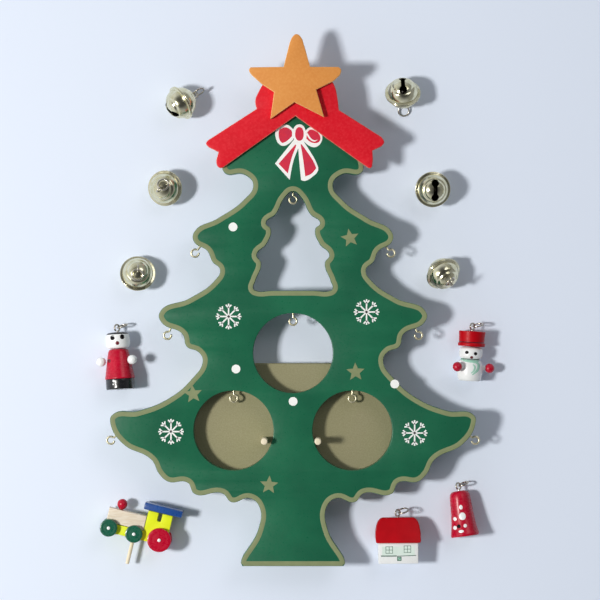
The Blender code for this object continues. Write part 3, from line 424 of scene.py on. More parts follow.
# The four smooth points of an opening run the other way round, so that they cut a hole.
CIRCLE_CENTRES = [on_tree(0, 0.4365), on_tree(-0.324, 0.278), on_tree(0.324, 0.278)]
circles = [[(x + across * CIRCLE_RADIUS, y + along * CIRCLE_RADIUS)
            for across, along in ((1, 0), (0, 1), (-1, 0), (0, -1))] for x, y in CIRCLE_CENTRES]
tree_edge = sized(TREE_SHARES, TREE_WIDTH, TREE_HEIGHT, TREE_FOOT)
window_edge = sized(WINDOW_SHARES, WINDOW_WIDTH, WINDOW_HEIGHT, WINDOW_FOOT)[::-1]
board = sawn_board("painted_tree_board", [tree_edge, window_edge, *circles], BOARD_BACK,
                   BOARD_FACE - BOARD_BACK, BOARD_EDGE_ROUND)
print("board faces:", len(board.data.polygons))

# %% Two blind holes in the trunk's foot take the dowels when the tree stands up
PEG_DIAMETER, PEG_X, PEG_Y = 3.5 * MM, 14.03 * MM, -5.5 * MM
HOLE_DEPTH, HOLE_PLAY = 16.3 * MM, 0.3 * MM
for side in (-1, 1):
    bpy.ops.mesh.primitive_cylinder_add(vertices=40, radius=PEG_DIAMETER / 2 + HOLE_PLAY, depth=2 * HOLE_DEPTH)
    drill = bpy.context.object
    drill.rotation_euler.x = math.pi / 2
    drill.location = (TREE_AXIS + side * PEG_X, TREE_FOOT, BOARD_MIDDLE)
    board = cut_out(board, drill)
finish_piece(board, "tree", GREEN_ENAMEL, ["tree_board"])

# %% [markdown]
# The gold border is one brush stroke along the edge, outside and round the window. It follows a
# path, so Geometry Nodes make it: the outline curve is moved inwards by half a stroke, and a flat
# oval is swept along it. A brush never keeps one width, so a noise varies the stroke a little.

# %% Geometry Nodes: small helpers, and the brush stroke
def new_tree(name, **sizes):
    """Start a geometry tree whose inputs are the sizes given, and a material."""
    tree = bpy.data.node_groups.new(name, "GeometryNodeTree")
    tree.interface.new_socket("Geometry", in_out="INPUT", socket_type="NodeSocketGeometry")
    for label, value in sizes.items():
        kind = "NodeSocketInt" if isinstance(value, int) else "NodeSocketFloat"
        tree.interface.new_socket(label, in_out="INPUT", socket_type=kind).default_value = value
    tree.interface.new_socket("Finish", in_out="INPUT", socket_type="NodeSocketMaterial")
    tree.interface.new_socket("Geometry", in_out="OUTPUT", socket_type="NodeSocketGeometry")
    add = partial(add_node, tree)
    return tree, add, add("NodeGroupInput").outputs


def end_tree(add, geometry, size):
    """Make the instances real, set their material and close the tree."""
    real = add("RealizeInstances", {"Geometry": geometry})
    dressed = add("SetMaterial", {"Geometry": real, "Material": size["Finish"]})
    add("NodeGroupOutput", {"Geometry": dressed})


def grow(name, source, tree, finish, **values):
    """Run a geometry tree on an object and keep the plain mesh that it makes."""
    item = link_mesh(name, source)
    modifier = item.modifiers.new(name, "NODES")
    modifier.node_group = tree
    values["Finish"] = finish
    for socket in tree.interface.items_tree:
        if socket.in_out == "INPUT" and socket.name in values:
            modifier[socket.identifier] = values[socket.name]
    plain = evaluated_mesh(item)
    shell = bmesh.new()
    shell.from_mesh(plain.data)
    bmesh.ops.recalc_face_normals(shell, faces=shell.faces)
    shell.to_mesh(plain.data)
    shell.free()
    print(name, "faces:", len(plain.data.polygons))
    return plain


stroke_tree, add, size = new_tree("brush_stroke_along_edge", Inset=1.4 * MM, Width=2.4 * MM,
                                  Thickness=0.12 * MM, Level=0.0, Wobble=0.18, Step=0.5 * MM)
fine = add("ResampleCurve", {"Curve": size["Geometry"], "Length": size["Step"]}, mode="LENGTH")
inward = add("VectorMath", {0: add("InputTangent"), 1: (0, 0, 1)}, operation="CROSS_PRODUCT")
shift = add("VectorMath", {0: inward, "Scale": size["Inset"]}, operation="SCALE")
both = add("VectorMath", {0: shift, 1: add("CombineXYZ", {"Z": size["Level"]})}, operation="ADD")
path = add("SetPosition", {"Geometry": fine, "Offset": both})
level = add("SetCurveNormal", {"Curve": path}, mode="Z_UP")
noise = add("TexNoise", {"Scale": 1 / (5 * MM), "Detail": 3.0})
sway = add("Math", {0: noise.outputs["Fac"], 1: 0.5}, operation="SUBTRACT")
swell = add("Math", {0: sway, 1: size["Wobble"]}, operation="MULTIPLY")
radius = add("Math", {0: swell, 1: 1.0}, operation="ADD")
sized_path = add("SetCurveRadius", {"Curve": level, "Radius": radius})
bristle = add("CurvePrimitiveCircle", {"Resolution": 8, "Radius": 0.5})
flat = add("CombineXYZ", {"X": size["Width"], "Y": size["Thickness"], "Z": 1.0})
oval = add("Transform", {"Geometry": bristle, "Scale": flat})
end_tree(add, add("CurveToMesh", {"Curve": sized_path, "Profile Curve": oval}), size)

border = grow("gold_border", outline_curve("border_paths", [tree_edge, window_edge], 10), stroke_tree,
              GOLD_POSTER_PAINT, Level=BOARD_FACE)
finish_piece(border, "tree")

# %% [markdown]
# ## Printed and painted marks on the tree
#
# The snowflakes, dots, small stars and the little ribbon bow are printed on the green. Ink has next
# to no thickness, so each mark is a skin about 0.05 mm thick that lies on the board. A snowflake is
# one forked arm, turned eight times, so Geometry Nodes make the arm once and place copies of it.
# The places of all marks are measured in pixels of the photograph.

# %% Snowflakes: one forked arm, copied round and then onto the board
PIXEL = 0.525 * MM
PIXEL_ORIGIN = (293, 430.5)
INK = 0.05 * MM


def photo_outline(points):
    """Places on the board of points measured in photograph pixels; a 1 marks a corner."""
    return [(TREE_AXIS + (x - PIXEL_ORIGIN[0]) * PIXEL, (PIXEL_ORIGIN[1] - y) * PIXEL, *corner)
            for x, y, *corner in points]


def points_mesh(name, places, level):
    """Loose points that carry copies."""
    mesh = bpy.data.meshes.new(name)
    mesh.from_pydata([(x, y, level) for x, y in places], [], [])
    return mesh


flake_tree, add, size = new_tree("snowflakes", Radius=6.7 * MM, Line=0.75 * MM, Fork=2.1 * MM, Arms=8, Ink=INK)
FORK_PLACE, FORK_RISE, FORK_ANGLE = 0.80, 0.36, math.radians(45)
bars = []
for length, place, side in (("Radius", 0.5, 0), ("Fork", FORK_PLACE, -1), ("Fork", FORK_PLACE, 1)):
    bar = add("MeshCube", {"Size": add("CombineXYZ", {"X": size[length], "Y": size["Line"], "Z": size["Ink"]})})
    out = add("Math", {0: size["Radius"], 1: place}, operation="MULTIPLY")
    rise = add("Math", {0: size["Fork"], 1: side * FORK_RISE}, operation="MULTIPLY")
    spot = add("CombineXYZ", {"X": out, "Y": rise})
    bars.append(add("Transform", {"Geometry": bar, "Translation": spot, "Rotation": (0, 0, side * FORK_ANGLE)}))
arm = add("JoinGeometry", {0: bars})
turn_step = add("Math", {0: math.tau, 1: size["Arms"]}, operation="DIVIDE")
count = add("Points", {"Count": size["Arms"], "Radius": 0.001})
angle = add("Math", {0: add("InputIndex"), 1: turn_step}, operation="MULTIPLY")
spin = add("CombineXYZ", {"Z": angle})
arms = add("InstanceOnPoints", {"Points": count, "Instance": arm, "Rotation": spin})
end_tree(add, add("InstanceOnPoints", {"Points": size["Geometry"], "Instance": arms}), size)
flake_places = photo_outline(((228.6, 316.5), (366.5, 312), (171, 431.6), (414.6, 433)))
flakes = grow("snowflakes", points_mesh("flake_points", flake_places, BOARD_FACE + 0.03 * MM), flake_tree,
              WHITE_SCREEN_INK)
finish_piece(flakes, "tree")

# %% Dots and five-pointed stars
mark_tree, add, size = new_tree("dots_and_stars", Points=5, Outer=5 * MM, Inner=2.2 * MM, Turn=0.0,
                                Ink=0.06 * MM)
star = add("CurveStar", {"Points": size["Points"], "Inner Radius": size["Inner"],
                         "Outer Radius": size["Outer"]})
thick = add("ExtrudeMesh", {"Mesh": add("FillCurve", {"Curve": star}), "Individual": False,
                            "Offset Scale": size["Ink"]})
marks = add("InstanceOnPoints", {"Points": size["Geometry"], "Instance": thick,
                                 "Rotation": add("CombineXYZ", {"Z": size["Turn"]})})
end_tree(add, marks, size)
MARK_LEVEL = BOARD_FACE + 0.01 * MM
dot_places = photo_outline(((233, 227), (236, 369), (293.1, 401.4), (394.7, 384)))
dots = grow("white_dots", points_mesh("dot_points", dot_places, MARK_LEVEL), mark_tree, WHITE_SCREEN_INK,
            Points=24, Outer=2.3 * MM, Inner=2.3 * MM)
finish_piece(dots, "tree")
for number, (x, y, lean) in enumerate(((350, 238, 10), (355.5, 372, 2), (193, 394, 6), (269, 485, -4)), 1):
    carrier = points_mesh("star_point", photo_outline([(x, y)]), MARK_LEVEL)
    star_mark = grow(f"gold_star_mark_{number}", carrier, mark_tree, GOLD_POSTER_PAINT,
                     Turn=math.radians(90 + lean), Outer=5.0 * MM, Inner=2.25 * MM)
    finish_piece(star_mark, "tree")

# %% [markdown]
# The printed ribbon bow is two colours of ink. White went on first as one shape, and red was
# printed inside it, so a white line is left round each loop, the knot and both tails. A last white
# line draws a fold in the right loop.

# %% Printed ribbon bow: white ground first, red on top
WHITE_PARTS = (
    ((299.3, 124.4), (306.0, 133.4), (299.3, 142.6), (292.6, 133.4)),
    ((293.4, 139.4, 1), (288.3, 144.1), (283, 145.9), (279.0, 144.0), (276.3, 139.6), (275.3, 132.2),
     (276.6, 128.4, 1), (282, 125.4, 1), (287.4, 124.9), (293.4, 129.4, 1)),
    ((305.2, 131.4, 1), (309.3, 127.6), (315, 128, 1), (321.4, 132.6, 1), (322.3, 137.2), (321.0, 142.6),
     (316.6, 146.8), (311.8, 147.0), (303.4, 141.4, 1)),
    ((294.2, 139.4, 1), (275.0, 163.6, 1), (289.6, 179.9, 1), (293.6, 160.6), (298.2, 148.6, 1),
     (299.6, 141.6, 1)),
    ((298.2, 141.6, 1), (298.4, 150.0), (301.0, 180.0, 1), (304.4, 180.9), (313.2, 176.2), (318.1, 170.2),
     (316.4, 163.0), (310.2, 151.6), (303.2, 140.8, 1)))
RED_PARTS = (
    ((299.4, 127.2), (303.7, 134.0), (299.4, 140.9), (295.1, 134.0)),
    ((286.8, 127.5, 1), (291.5, 130.9), (292.0, 136.2, 1), (286.9, 141), (282.4, 143.2, 1), (280.2, 141),
     (278.6, 133.4), (279.4, 129.6, 1), (283.4, 127.6, 1)),
    ((307.0, 132.6, 1), (310.2, 129.8), (316, 131.4), (320.2, 136.6), (319.4, 141.4), (316.3, 143.3, 1),
     (311.2, 142.4), (306.3, 138.8, 1)),
    ((295.5, 144.4, 1), (278.6, 163.8, 1), (287.8, 173.4, 1), (291.2, 159.4), (296.2, 145.6, 1)),
    ((300.6, 144.4, 1), (303.2, 160), (305.3, 176.6, 1), (311.6, 173.6), (316.2, 168.2, 1), (314.2, 163),
     (307.6, 152.6), (301.6, 144.4, 1)))
FOLD = ((307.4, 132.6, 1), (310.4, 137.6), (314.6, 140.4), (318.0, 139.6, 1), (314.4, 141.6), (309.6, 139.2),
        (306.8, 135.0, 1))
prints = [(f"white_{n}", part, 0.02 + 0.004 * n, WHITE_SCREEN_INK) for n, part in enumerate(WHITE_PARTS, 1)]
prints += [(f"red_{n}", part, 0.075, RED_SCREEN_INK) for n, part in enumerate(RED_PARTS, 1)]
prints.append(("fold", FOLD, 0.13, WHITE_SCREEN_INK))
for name, part, rise, finish in prints:
    shape = sawn_board(f"bow_print_{name}", [photo_outline(part)], BOARD_FACE + rise * MM, INK, 0.0, 8)
    finish_piece(shape, "tree", finish)

# %% [markdown]
# ## Bow and star plates
#
# Both are thin board, laid one on the other. The bow's face is mottled red and the star's is
# orange. The sides of both get a paler colour than the faces, a painted highlight for the lit cut
# edges: faces that don't look up take the second material.

# %% Bow plate and star plate
BOW_OUTLINE = (
    (295.5, 116.4, 1), (222.6, 168.2, 1), (219.4, 168.0), (216.8, 164.6), (218.6, 152.4, 1), (208.8, 147.6, 1),
    (206.2, 144.0), (208.2, 140.6, 1), (256.6, 109.4, 1), (255.3, 101.2), (258.4, 92.7), (263.4, 84.0, 1),
    (275, 80, 1), (318, 78, 1), (331.4, 80.5, 1), (335.0, 87.5), (337.4, 98.0), (338.9, 110.4, 1),
    (381.4, 137.4, 1), (384.0, 142.4), (381.4, 146.8, 1), (372.4, 151.0, 1), (372.4, 163.6), (370.6, 168.4),
    (367.0, 167.6, 1))
STAR_OUTLINE = (
    (296.5, 35.3), (300.6, 37.9), (304.4, 47.2, 1), (310.2, 67.9, 1), (338.4, 67.9, 1), (341.0, 70.8),
    (339.9, 76.0, 1), (333.2, 82.2, 1), (316.2, 90.6, 1), (324.0, 117.9, 1), (294.6, 103.1, 1),
     (270.5, 120.0, 1),
    (274.2, 93.1, 1), (262.2, 85.2, 1), (252.0, 76.2, 1), (249.2, 71.2), (250.8, 68.3, 1), (283.7, 67.9, 1),
    (289.6, 44.0, 1), (292.8, 37.6))
PLATE_THICKNESS, PLATE_EDGE_ROUND, GLUE = 3 * MM, 0.5 * MM, 0.3 * MM
LOOKS_UP = 0.94
BOW_BACK = BOARD_FACE + GLUE
STAR_BACK = BOW_BACK + PLATE_THICKNESS + GLUE
for name, points, back, face, edge, node in (
        ("ribbon_bow_plate", BOW_OUTLINE, BOW_BACK, RED_SPRAY, RED_EDGE_PAINTED_HIGHLIGHT, "bow_plate"),
        ("tree_top_star", STAR_OUTLINE, STAR_BACK, ORANGE_SPRAY, ORANGE_EDGE_PAINTED_HIGHLIGHT, "star_plate")):
    plate = sawn_board(name, [photo_outline(points)], back, PLATE_THICKNESS, PLATE_EDGE_ROUND)
    finish_piece(plate, "tree", face, [node])
    # Faces that don't look up get the paler copy: painted highlight on the sides.
    plate.data.materials.append(edge)
    for polygon in plate.data.polygons:
        polygon.material_index = 0 if polygon.normal.z > LOOKS_UP else 1

# %% [markdown]
# ## Screw hooks
#
# Ten little open hooks are screwed into the edge of the board, in the middle of its thickness. All
# ten are alike, so Geometry Nodes bend one wire and place it ten times. Each carrier point holds a
# turn, and a side that flips the copies on the left-hand branches.

# %% Hook tree: a wire bent once, copied to every place
hook_tree, add, size = new_tree("screw_hooks", Radius=1.95 * MM, Neck=2.4 * MM, Shank=4.7 * MM, Wire=1.1 * MM,
                                Bend=math.radians(300))
back_turn = add("Math", {0: size["Bend"], 1: -1.0}, operation="MULTIPLY")
bend = add("CurveArc", {"Resolution": 40, "Radius": size["Radius"], "Start Angle": math.radians(90),
                        "Sweep Angle": back_turn})
drop = add("Math", {0: size["Neck"], 1: size["Radius"]}, operation="ADD")
down = add("Math", {0: drop, 1: -1.0}, operation="MULTIPLY")
low_bend = add("Transform", {"Geometry": bend, "Translation": add("CombineXYZ", {"Y": down})})
foot = add("CombineXYZ", {"Y": add("Math", {0: size["Neck"], 1: -1.0}, operation="MULTIPLY")})
top = add("CombineXYZ", {"Y": size["Shank"]})
stem = add("CurvePrimitiveLine", {"Start": top, "End": foot})
half_wire = add("Math", {0: size["Wire"], 1: 0.5}, operation="MULTIPLY")
section = add("CurvePrimitiveCircle", {"Resolution": 16, "Radius": half_wire})
round_wire = add("CurveToMesh", {"Curve": add("JoinGeometry", {0: [low_bend, stem]}), "Profile Curve": section,
                                 "Fill Caps": True})
tip = add("MeshIcoSphere", {"Radius": half_wire, "Subdivisions": 3})
tip_turn = add("Math", {0: math.radians(90), 1: size["Bend"]}, operation="SUBTRACT")
tip_cos = add("Math", {0: tip_turn}, operation="COSINE")
tip_sin = add("Math", {0: tip_turn}, operation="SINE")
tip_x = add("Math", {0: size["Radius"], 1: tip_cos}, operation="MULTIPLY")
tip_y = add("Math", {0: size["Radius"], 1: tip_sin, 2: down}, operation="MULTIPLY_ADD")
placed_tip = add("Transform", {"Geometry": tip, "Translation": add("CombineXYZ", {"X": tip_x, "Y": tip_y})})
hook = add("JoinGeometry", {0: [round_wire, placed_tip]})
turn = add("InputNamedAttribute", {"Name": "turn"}, data_type="FLOAT_VECTOR")
flip = add("InputNamedAttribute", {"Name": "flip"}, data_type="FLOAT_VECTOR")
copies = add("InstanceOnPoints", {"Points": size["Geometry"], "Instance": hook, "Rotation": turn,
                                  "Scale": flip})
end_tree(add, copies, size)


# %% Place the ten hooks
def wire_carrier(name, rows, level):
    """Points for bent wires, from rows of x, y, turn and flip."""
    carrier = points_mesh(name, [row[:2] for row in rows], level)
    turns = carrier.attributes.new("turn", "FLOAT_VECTOR", "POINT")
    flips = carrier.attributes.new("flip", "FLOAT_VECTOR", "POINT")
    for number, (_, _, lean, flipped) in enumerate(rows):
        turns.data[number].vector = (0, 0, lean)
        flips.data[number].vector = flipped
    return carrier


BRANCH_HOOKS = ((0.508, 0.655, 38), (0.668, 0.488, 24), (0.962, 0.268, 50))
hook_rows = [(x, y + CIRCLE_RADIUS, 0, (1, 1, 1)) for x, y in CIRCLE_CENTRES]
hook_rows.append((TREE_AXIS, WINDOW_FOOT + WINDOW_HEIGHT, 0, (1, 1, 1)))
hook_rows += [(*on_tree(side * x, y), math.radians(side * lean), (side, 1, 1))
              for side in (1, -1) for x, y, lean in BRANCH_HOOKS]
hooks = grow("screw_hooks", wire_carrier("hook_points", hook_rows, BOARD_MIDDLE), hook_tree, BRASSY_WIRE)
hook_nodes = [f"cutout_hook_{place}" for place in ("upper", "left", "right", "window")]
hook_nodes += [f"branch_hook_{side}_{tier}" for side in ("right", "left") for tier in (1, 2, 3)]
finish_piece(hooks, "tree", None, hook_nodes)

# %% [markdown]
# ## Base plate
#
# A plain block of stained fibreboard with two beech dowels glued in. The dowels stand inside the two
# lower round openings. Their rims are chamfered, so that they find the holes in the trunk. The
# plate doesn't show beside the trunk or at the waists above the lowest boughs, so its corners are
# round and wide.

# %% Base plate and its dowels
low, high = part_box("base_plate")
BASE_TOP, BASE_CORNER, BASE_EDGE_ROUND = 9 * MM, 29 * MM, 0.8 * MM
DOWEL_SINK, DOWEL_CHAMFER = 2 * MM, 0.6 * MM
corner_middle = BASE_CORNER * (1 - math.sqrt(0.5))
rim = []
for x, y, across, along in ((low.x, high.y, 1, -1), (high.x, high.y, -1, -1), (high.x, low.y, -1, 1),
                            (low.x, low.y, 1, 1)):
    arc = [(x + across * BASE_CORNER, y, 1), (x + across * corner_middle, y + along * corner_middle),
           (x, y + along * BASE_CORNER, 1)]
    rim += arc[::-1] if across == -along else arc
plate = sawn_board("khaki_base_plate", [rim], 0, BASE_TOP, BASE_EDGE_ROUND)
finish_piece(plate, "base", KHAKI_FIBREBOARD, ["base_plate"])
for side, label in ((-1, "left"), (1, "right")):
    bpy.ops.mesh.primitive_cylinder_add(vertices=48, radius=PEG_DIAMETER / 2,
                                        depth=high.z - BASE_TOP + DOWEL_SINK)
    dowel = bpy.context.object
    dowel.name = f"beech_dowel_{label}"
    dowel.location = (side * PEG_X, PEG_Y, (high.z + BASE_TOP - DOWEL_SINK) / 2)
    chamfer = dowel.modifiers.new("chamfer", "BEVEL")
    chamfer.width = DOWEL_CHAMFER
    chamfer.segments = 3
    chamfer.limit_method = "ANGLE"
    finish_piece(evaluated_mesh(dowel), "base", BEECH_DOWEL)

# %% [markdown]
# ## Jingle bells
#
# A jingle bell is pressed from two cups of thin brass that are crimped together at the seam, so a
# rim runs round its middle. The lower cup has a slot between two round holes, where the sound comes
# out, and a loose steel pellet rolls inside. A profile is turned about the axis like work in a lathe,
# and a Boolean modifier punches the slot. The one shell is then copied to six places.

# %% Helpers: turn a profile about its axis, and bend a round wire
def turned_shape(name, profile, steps=72, unit=1.0):
    """Turn (radius, height) points about Z into a closed shape whose faces point outwards."""
    shape = bmesh.new()
    points = [shape.verts.new((radius * unit, 0, height * unit)) for radius, height in profile]
    edges = [shape.edges.new(pair) for pair in zip(points, points[1:])]
    bmesh.ops.spin(shape, geom=points + edges, cent=(0, 0, 0), axis=(0, 0, 1), angle=math.tau, steps=steps,
                   use_merge=True)
    bmesh.ops.remove_doubles(shape, verts=shape.verts, dist=0.005 * MM)
    bmesh.ops.recalc_face_normals(shape, faces=shape.faces)
    mesh = bpy.data.meshes.new(name)
    shape.to_mesh(mesh)
    shape.free()
    return link_mesh(name, mesh)


def arc_points(radius, start, end, count, centre=(0, 0)):
    """Points on an arc, in degrees."""
    angles = [math.radians(start + (end - start) * step / count) for step in range(count + 1)]
    return [(centre[0] + radius * math.cos(a), centre[1] + radius * math.sin(a)) for a in angles]


def round_wire_along(name, points, diameter):
    """Round wire through points, its ends closed."""
    curve = bpy.data.curves.new(name, "CURVE")
    curve.dimensions = "3D"
    spline = curve.splines.new("POLY")
    spline.points.add(len(points) - 1)
    for point, place in zip(spline.points, points):
        point.co = (*place, 1)
    curve.bevel_depth = diameter / 2
    curve.bevel_resolution = 4
    curve.use_fill_caps = True
    return evaluated_mesh(link_mesh(name, curve))


def joined(name, items):
    """Join several mesh objects into one."""
    whole = bmesh.new()
    for item in items:
        whole.from_mesh(item.data)
        bpy.data.objects.remove(item, do_unlink=True)
    mesh = bpy.data.meshes.new(name)
    whole.to_mesh(mesh)
    whole.free()
    return link_mesh(name, mesh)


# %% One bell: pressed cups, crimped seam, slot
BELL_RADIUS, BELL_WALL = 8.2 * MM, 0.5 * MM
SEAM_RADIUS, SEAM_HALF, SEAM_GAP, SEAM_FLAT = 9.4 * MM, 0.7 * MM, 0.02 * MM, 0.15 * MM
DENT_DEPTH, DENT_HEIGHT, DENT_SPREAD = 0.34 * MM, 46, 5.5
SLOT_WIDTH, SLOT_LENGTH, SLOT_EYE = 2.2 * MM, 11.6 * MM, 4.0 * MM
LOOP_BEND, LOOP_WIRE, LOOP_FOOT, LOOP_TOP = 1.6 * MM, 0.9 * MM, 7.7 * MM, 9.2 * MM
DOME_STEPS = 44


def cup_profile():
    """Upper half from the pole to the seam: a dome, a pressed step, a rolled rim."""
    lowest = math.degrees(math.asin(SEAM_HALF / BELL_RADIUS))
    dome = [(0, BELL_RADIUS)]
    for step in range(1, DOME_STEPS + 1):
        up = 90 - (90 - lowest - 1.5) * step / DOME_STEPS
        radius = BELL_RADIUS - DENT_DEPTH * math.exp(-((up - DENT_HEIGHT) / DENT_SPREAD) ** 2)
        dome.append((radius * math.cos(math.radians(up)), radius * math.sin(math.radians(up))))
    roll = SEAM_HALF / 2 - SEAM_GAP
    return dome + arc_points(roll, 90, -90, 8, (SEAM_RADIUS - roll, SEAM_HALF / 2 + SEAM_GAP))


upper = cup_profile()
lower = [(r, -h) for r, h in upper[::-1]]
bell = turned_shape("bell_outside", upper + [(BELL_RADIUS + SEAM_FLAT, 0)] + lower, 96)
hollow = turned_shape("bell_hollow", arc_points(BELL_RADIUS - BELL_WALL, 90, -90, 36), 64)
neck = math.degrees(math.asin(SLOT_WIDTH / SLOT_EYE))
right_eye = arc_points(SLOT_EYE / 2, neck - 180, 180 - neck, 20, ((SLOT_LENGTH - SLOT_EYE) / 2, 0))
slot_outline = [(x, y, 1) for x, y in right_eye + [(-x, -y) for x, y in right_eye]]
punch = sawn_board("slot_punch", [slot_outline], -BELL_RADIUS - 4 * MM, BELL_RADIUS, 0.0, 2)
for tool in (hollow, punch):
    bell = cut_out(bell, tool)
loop_path = [(LOOP_BEND, LOOP_FOOT), *arc_points(LOOP_BEND, 0, 180, 24, (0, LOOP_TOP)), (-LOOP_BEND, LOOP_FOOT)]
crown_loop = round_wire_along("crown_loop", [(x, 0, z) for x, z in loop_path], LOOP_WIRE)
print("bell faces:", len(bell.data.polygons), "loop faces:", len(crown_loop.data.polygons))

# %% Pellet: a tumbled steel ball with the flash line of its mould
PELLET_RADIUS, FLASH, FLASH_SPREAD, PELLET_DROP = 2.5 * MM, 0.06 * MM, 5, 4.6
pellet_profile = [(0, PELLET_RADIUS)]
for step in range(1, 24):
    up = 90 - 7.5 * step
    belt = FLASH * math.exp(-(up / FLASH_SPREAD) ** 2)
    pellet_profile.append(((PELLET_RADIUS - FLASH + belt) * math.cos(math.radians(up)),
                           (PELLET_RADIUS - FLASH / 2) * math.sin(math.radians(up))))
pellet_profile.append((0, -PELLET_RADIUS))
pellet = turned_shape("steel_pellet", pellet_profile, 32)

# %% [markdown]
# ## Jump rings
#
# A jump ring is one turn of wire whose two ends nearly meet. All ten are alike, so one small tree of
# Geometry Nodes bends an arc a little short of a circle and sweeps the round wire along it. A ring's
# reach is the way from the wire that it hangs on to its own middle.

# %% Jump ring tree
ring_tree, add, size = new_tree("jump_ring", Radius=2.81 * MM, Wire=0.84 * MM, Opening=math.radians(4))
sweep = add("Math", {0: math.tau, 1: size["Opening"]}, operation="SUBTRACT")
bend = add("CurveArc", {"Resolution": 64, "Radius": size["Radius"], "Start Angle": math.radians(40),
                        "Sweep Angle": sweep})
half_wire = add("Math", {0: size["Wire"], 1: 0.5}, operation="MULTIPLY")
section = add("CurvePrimitiveCircle", {"Resolution": 16, "Radius": half_wire})
end_tree(add, add("CurveToMesh", {"Curve": bend, "Profile Curve": section, "Fill Caps": True}), size)
EYE_WIRE, RING_REACH = 0.9 * MM, 1.7 * MM


def hang_jump_ring(owner, place, link, along, side, lean):
    """Jump ring linked over a wire at a point, leaning from along towards side."""
    ring = grow(f"{owner}_jump_ring", bpy.data.meshes.new("ring_start"), ring_tree, NICKEL_WIRE)
    upright = Matrix(((0, 0, 1), (1, 0, 0), (0, 1, 0))).to_4x4()
    hung = Matrix.Translation((0, RING_REACH * math.sin(lean), RING_REACH * math.cos(lean))) @ upright
    turn = Matrix((side.cross(along), side, along)).transposed().to_4x4()
    finish_piece(ring, f"{owner}_ring", None, [f"{owner}_ring"], place @ Matrix.Translation(link) @ turn @ hung)


# %% Six bells in their places
# Each row: the bell's centre, the way its crown points (round, up) with the turn of its slot, and
# where its ring lies on the loop with the ring's own lean
BELLS = (
    ((-58.321, 172.679, 8.845), (32, -22, 70), (-10, 60)),
    ((-66.699, 127.588, 8.187), (200, 72, 30), (-110, 0)),
    ((-81.144, 82.496, 8.118), (75, 74, 10), (-110, 0)),
    ((58.973, 177.803, 9.280), (-88, -52, 0), (-38, 15)),
    ((74.766, 126.819, 11.079), (139, -80, 49), (-70, 15)),
    ((80.351, 82.496, 8.139), (-57, 46, 20), (-60, 45)),
)
for number, (centre, turns, (hang, lean)) in enumerate(BELLS, 1):
    owner = f"bell_{number}"
    around, up, roll = [math.radians(angle) for angle in turns]
    turn = (Matrix.Rotation(around, 4, "Z") @ Matrix.Rotation(math.pi / 2 - up, 4, "Y")
            @ Matrix.Rotation(roll, 4, "Z"))
    place = Matrix.Translation(Vector(centre) * MM)
    shell = link_mesh(f"{owner}_pressed_shell", bell.data.copy())
    finish_piece(shell, owner, BRASS_PLATING, [f"{owner}_shell"])
    # Faces inside the shell wear the near-black painted shade.
    shell.data.materials.append(BELL_INSIDE_PAINTED_SHADE)
    for polygon in shell.data.polygons:
        polygon.material_index = int(polygon.center.length < BELL_RADIUS - 0.7 * BELL_WALL)
    shell.data.transform(place @ turn)
    finish_piece(link_mesh(f"{owner}_crown_loop", crown_loop.data.copy()), owner, NICKEL_WIRE,
                 matrix=place @ turn)
    finish_piece(link_mesh(f"{owner}_steel_pellet", pellet.data.copy()), f"{owner}_pellet", NICKEL_WIRE,
                 [f"{owner}_pellet"], Matrix.Translation((Vector(centre) - Vector((0, 0, PELLET_DROP))) * MM))
    hang, bend = math.radians(hang), math.radians(max(min(hang, 90), -90))
    link = turn @ Vector((LOOP_BEND * math.sin(bend), 0, LOOP_TOP + LOOP_BEND * math.cos(bend)))
    along, side = turn.to_3x3() @ Vector((math.sin(hang), 0, math.cos(hang))), turn.to_3x3() @ Vector((0, 1, 0))
    hang_jump_ring(owner, place, link, along, side, math.radians(lean))
for model in (bell, crown_loop, pellet):
    bpy.data.objects.remove(model, do_unlink=True)


# %% [markdown]
# ## Turned wooden ornaments
#
# The soldier, the snowman and the red bell are turned on a lathe and dipped in gloss lacquer. Each
# lies on its side, so it is modelled standing and then laid down. The profile is written as shares of
# the width and of the height; a smooth curve is drawn through the rows, and a row that is marked as
# a corner stays sharp.

# %% Lathe profile with smooth spans and sharp corners
PROFILE_STEPS = 6


def smooth_span(points, place, steps, before, after):
    """Smooth curve from a point to the next one, without its end, aimed by the points beside them."""
    span = []
    for step in range(steps):
        t = step / steps
        weights = ((-t + 2 * t * t - t ** 3) / 2, (2 - 5 * t * t + 3 * t ** 3) / 2,
                   (t + 4 * t * t - 3 * t ** 3) / 2, (t ** 3 - t * t) / 2)
        span.append(tuple(sum(w * p[axis] for w, p in zip(weights, (before, *points[place:place + 2], after)))
                          for axis in (0, 1)))
    return span


def lathed(name, rows, width, height, level, base=0.0, steps=72):
    """Turn rows of (share of radius, share of height), sizes in millimetres, and lay the piece down."""
    knots = [(r * width * MM / 2, base * MM + h * height * MM) for r, h, *_ in rows]
    points = []
    for place, (near, far) in enumerate(zip(knots, knots[1:])):
        before = near if len(rows[place]) > 2 or place == 0 else knots[place - 1]
        after = far if len(rows[place + 1]) > 2 or place + 2 == len(knots) else knots[place + 2]
        points += smooth_span(knots, place, PROFILE_STEPS, before, after)
    item = turned_shape(name, [(max(r, 0.0), h) for r, h in points + [knots[-1]]], steps)
    item.data.transform(Matrix.Translation((0, 0, level * MM)) @ Matrix.Rotation(-math.pi / 2, 4, "X"))
    return item


def ornament_place(x, y, z, turn, lean):
    """Where an ornament's own frame lies: its place in millimetres, its turn and lean in degrees."""
    return (Matrix.Translation((x * MM, y * MM, z * MM)) @ Matrix.Rotation(math.radians(turn), 4, "Z")
            @ Matrix.Rotation(math.radians(-lean), 4, "X"))


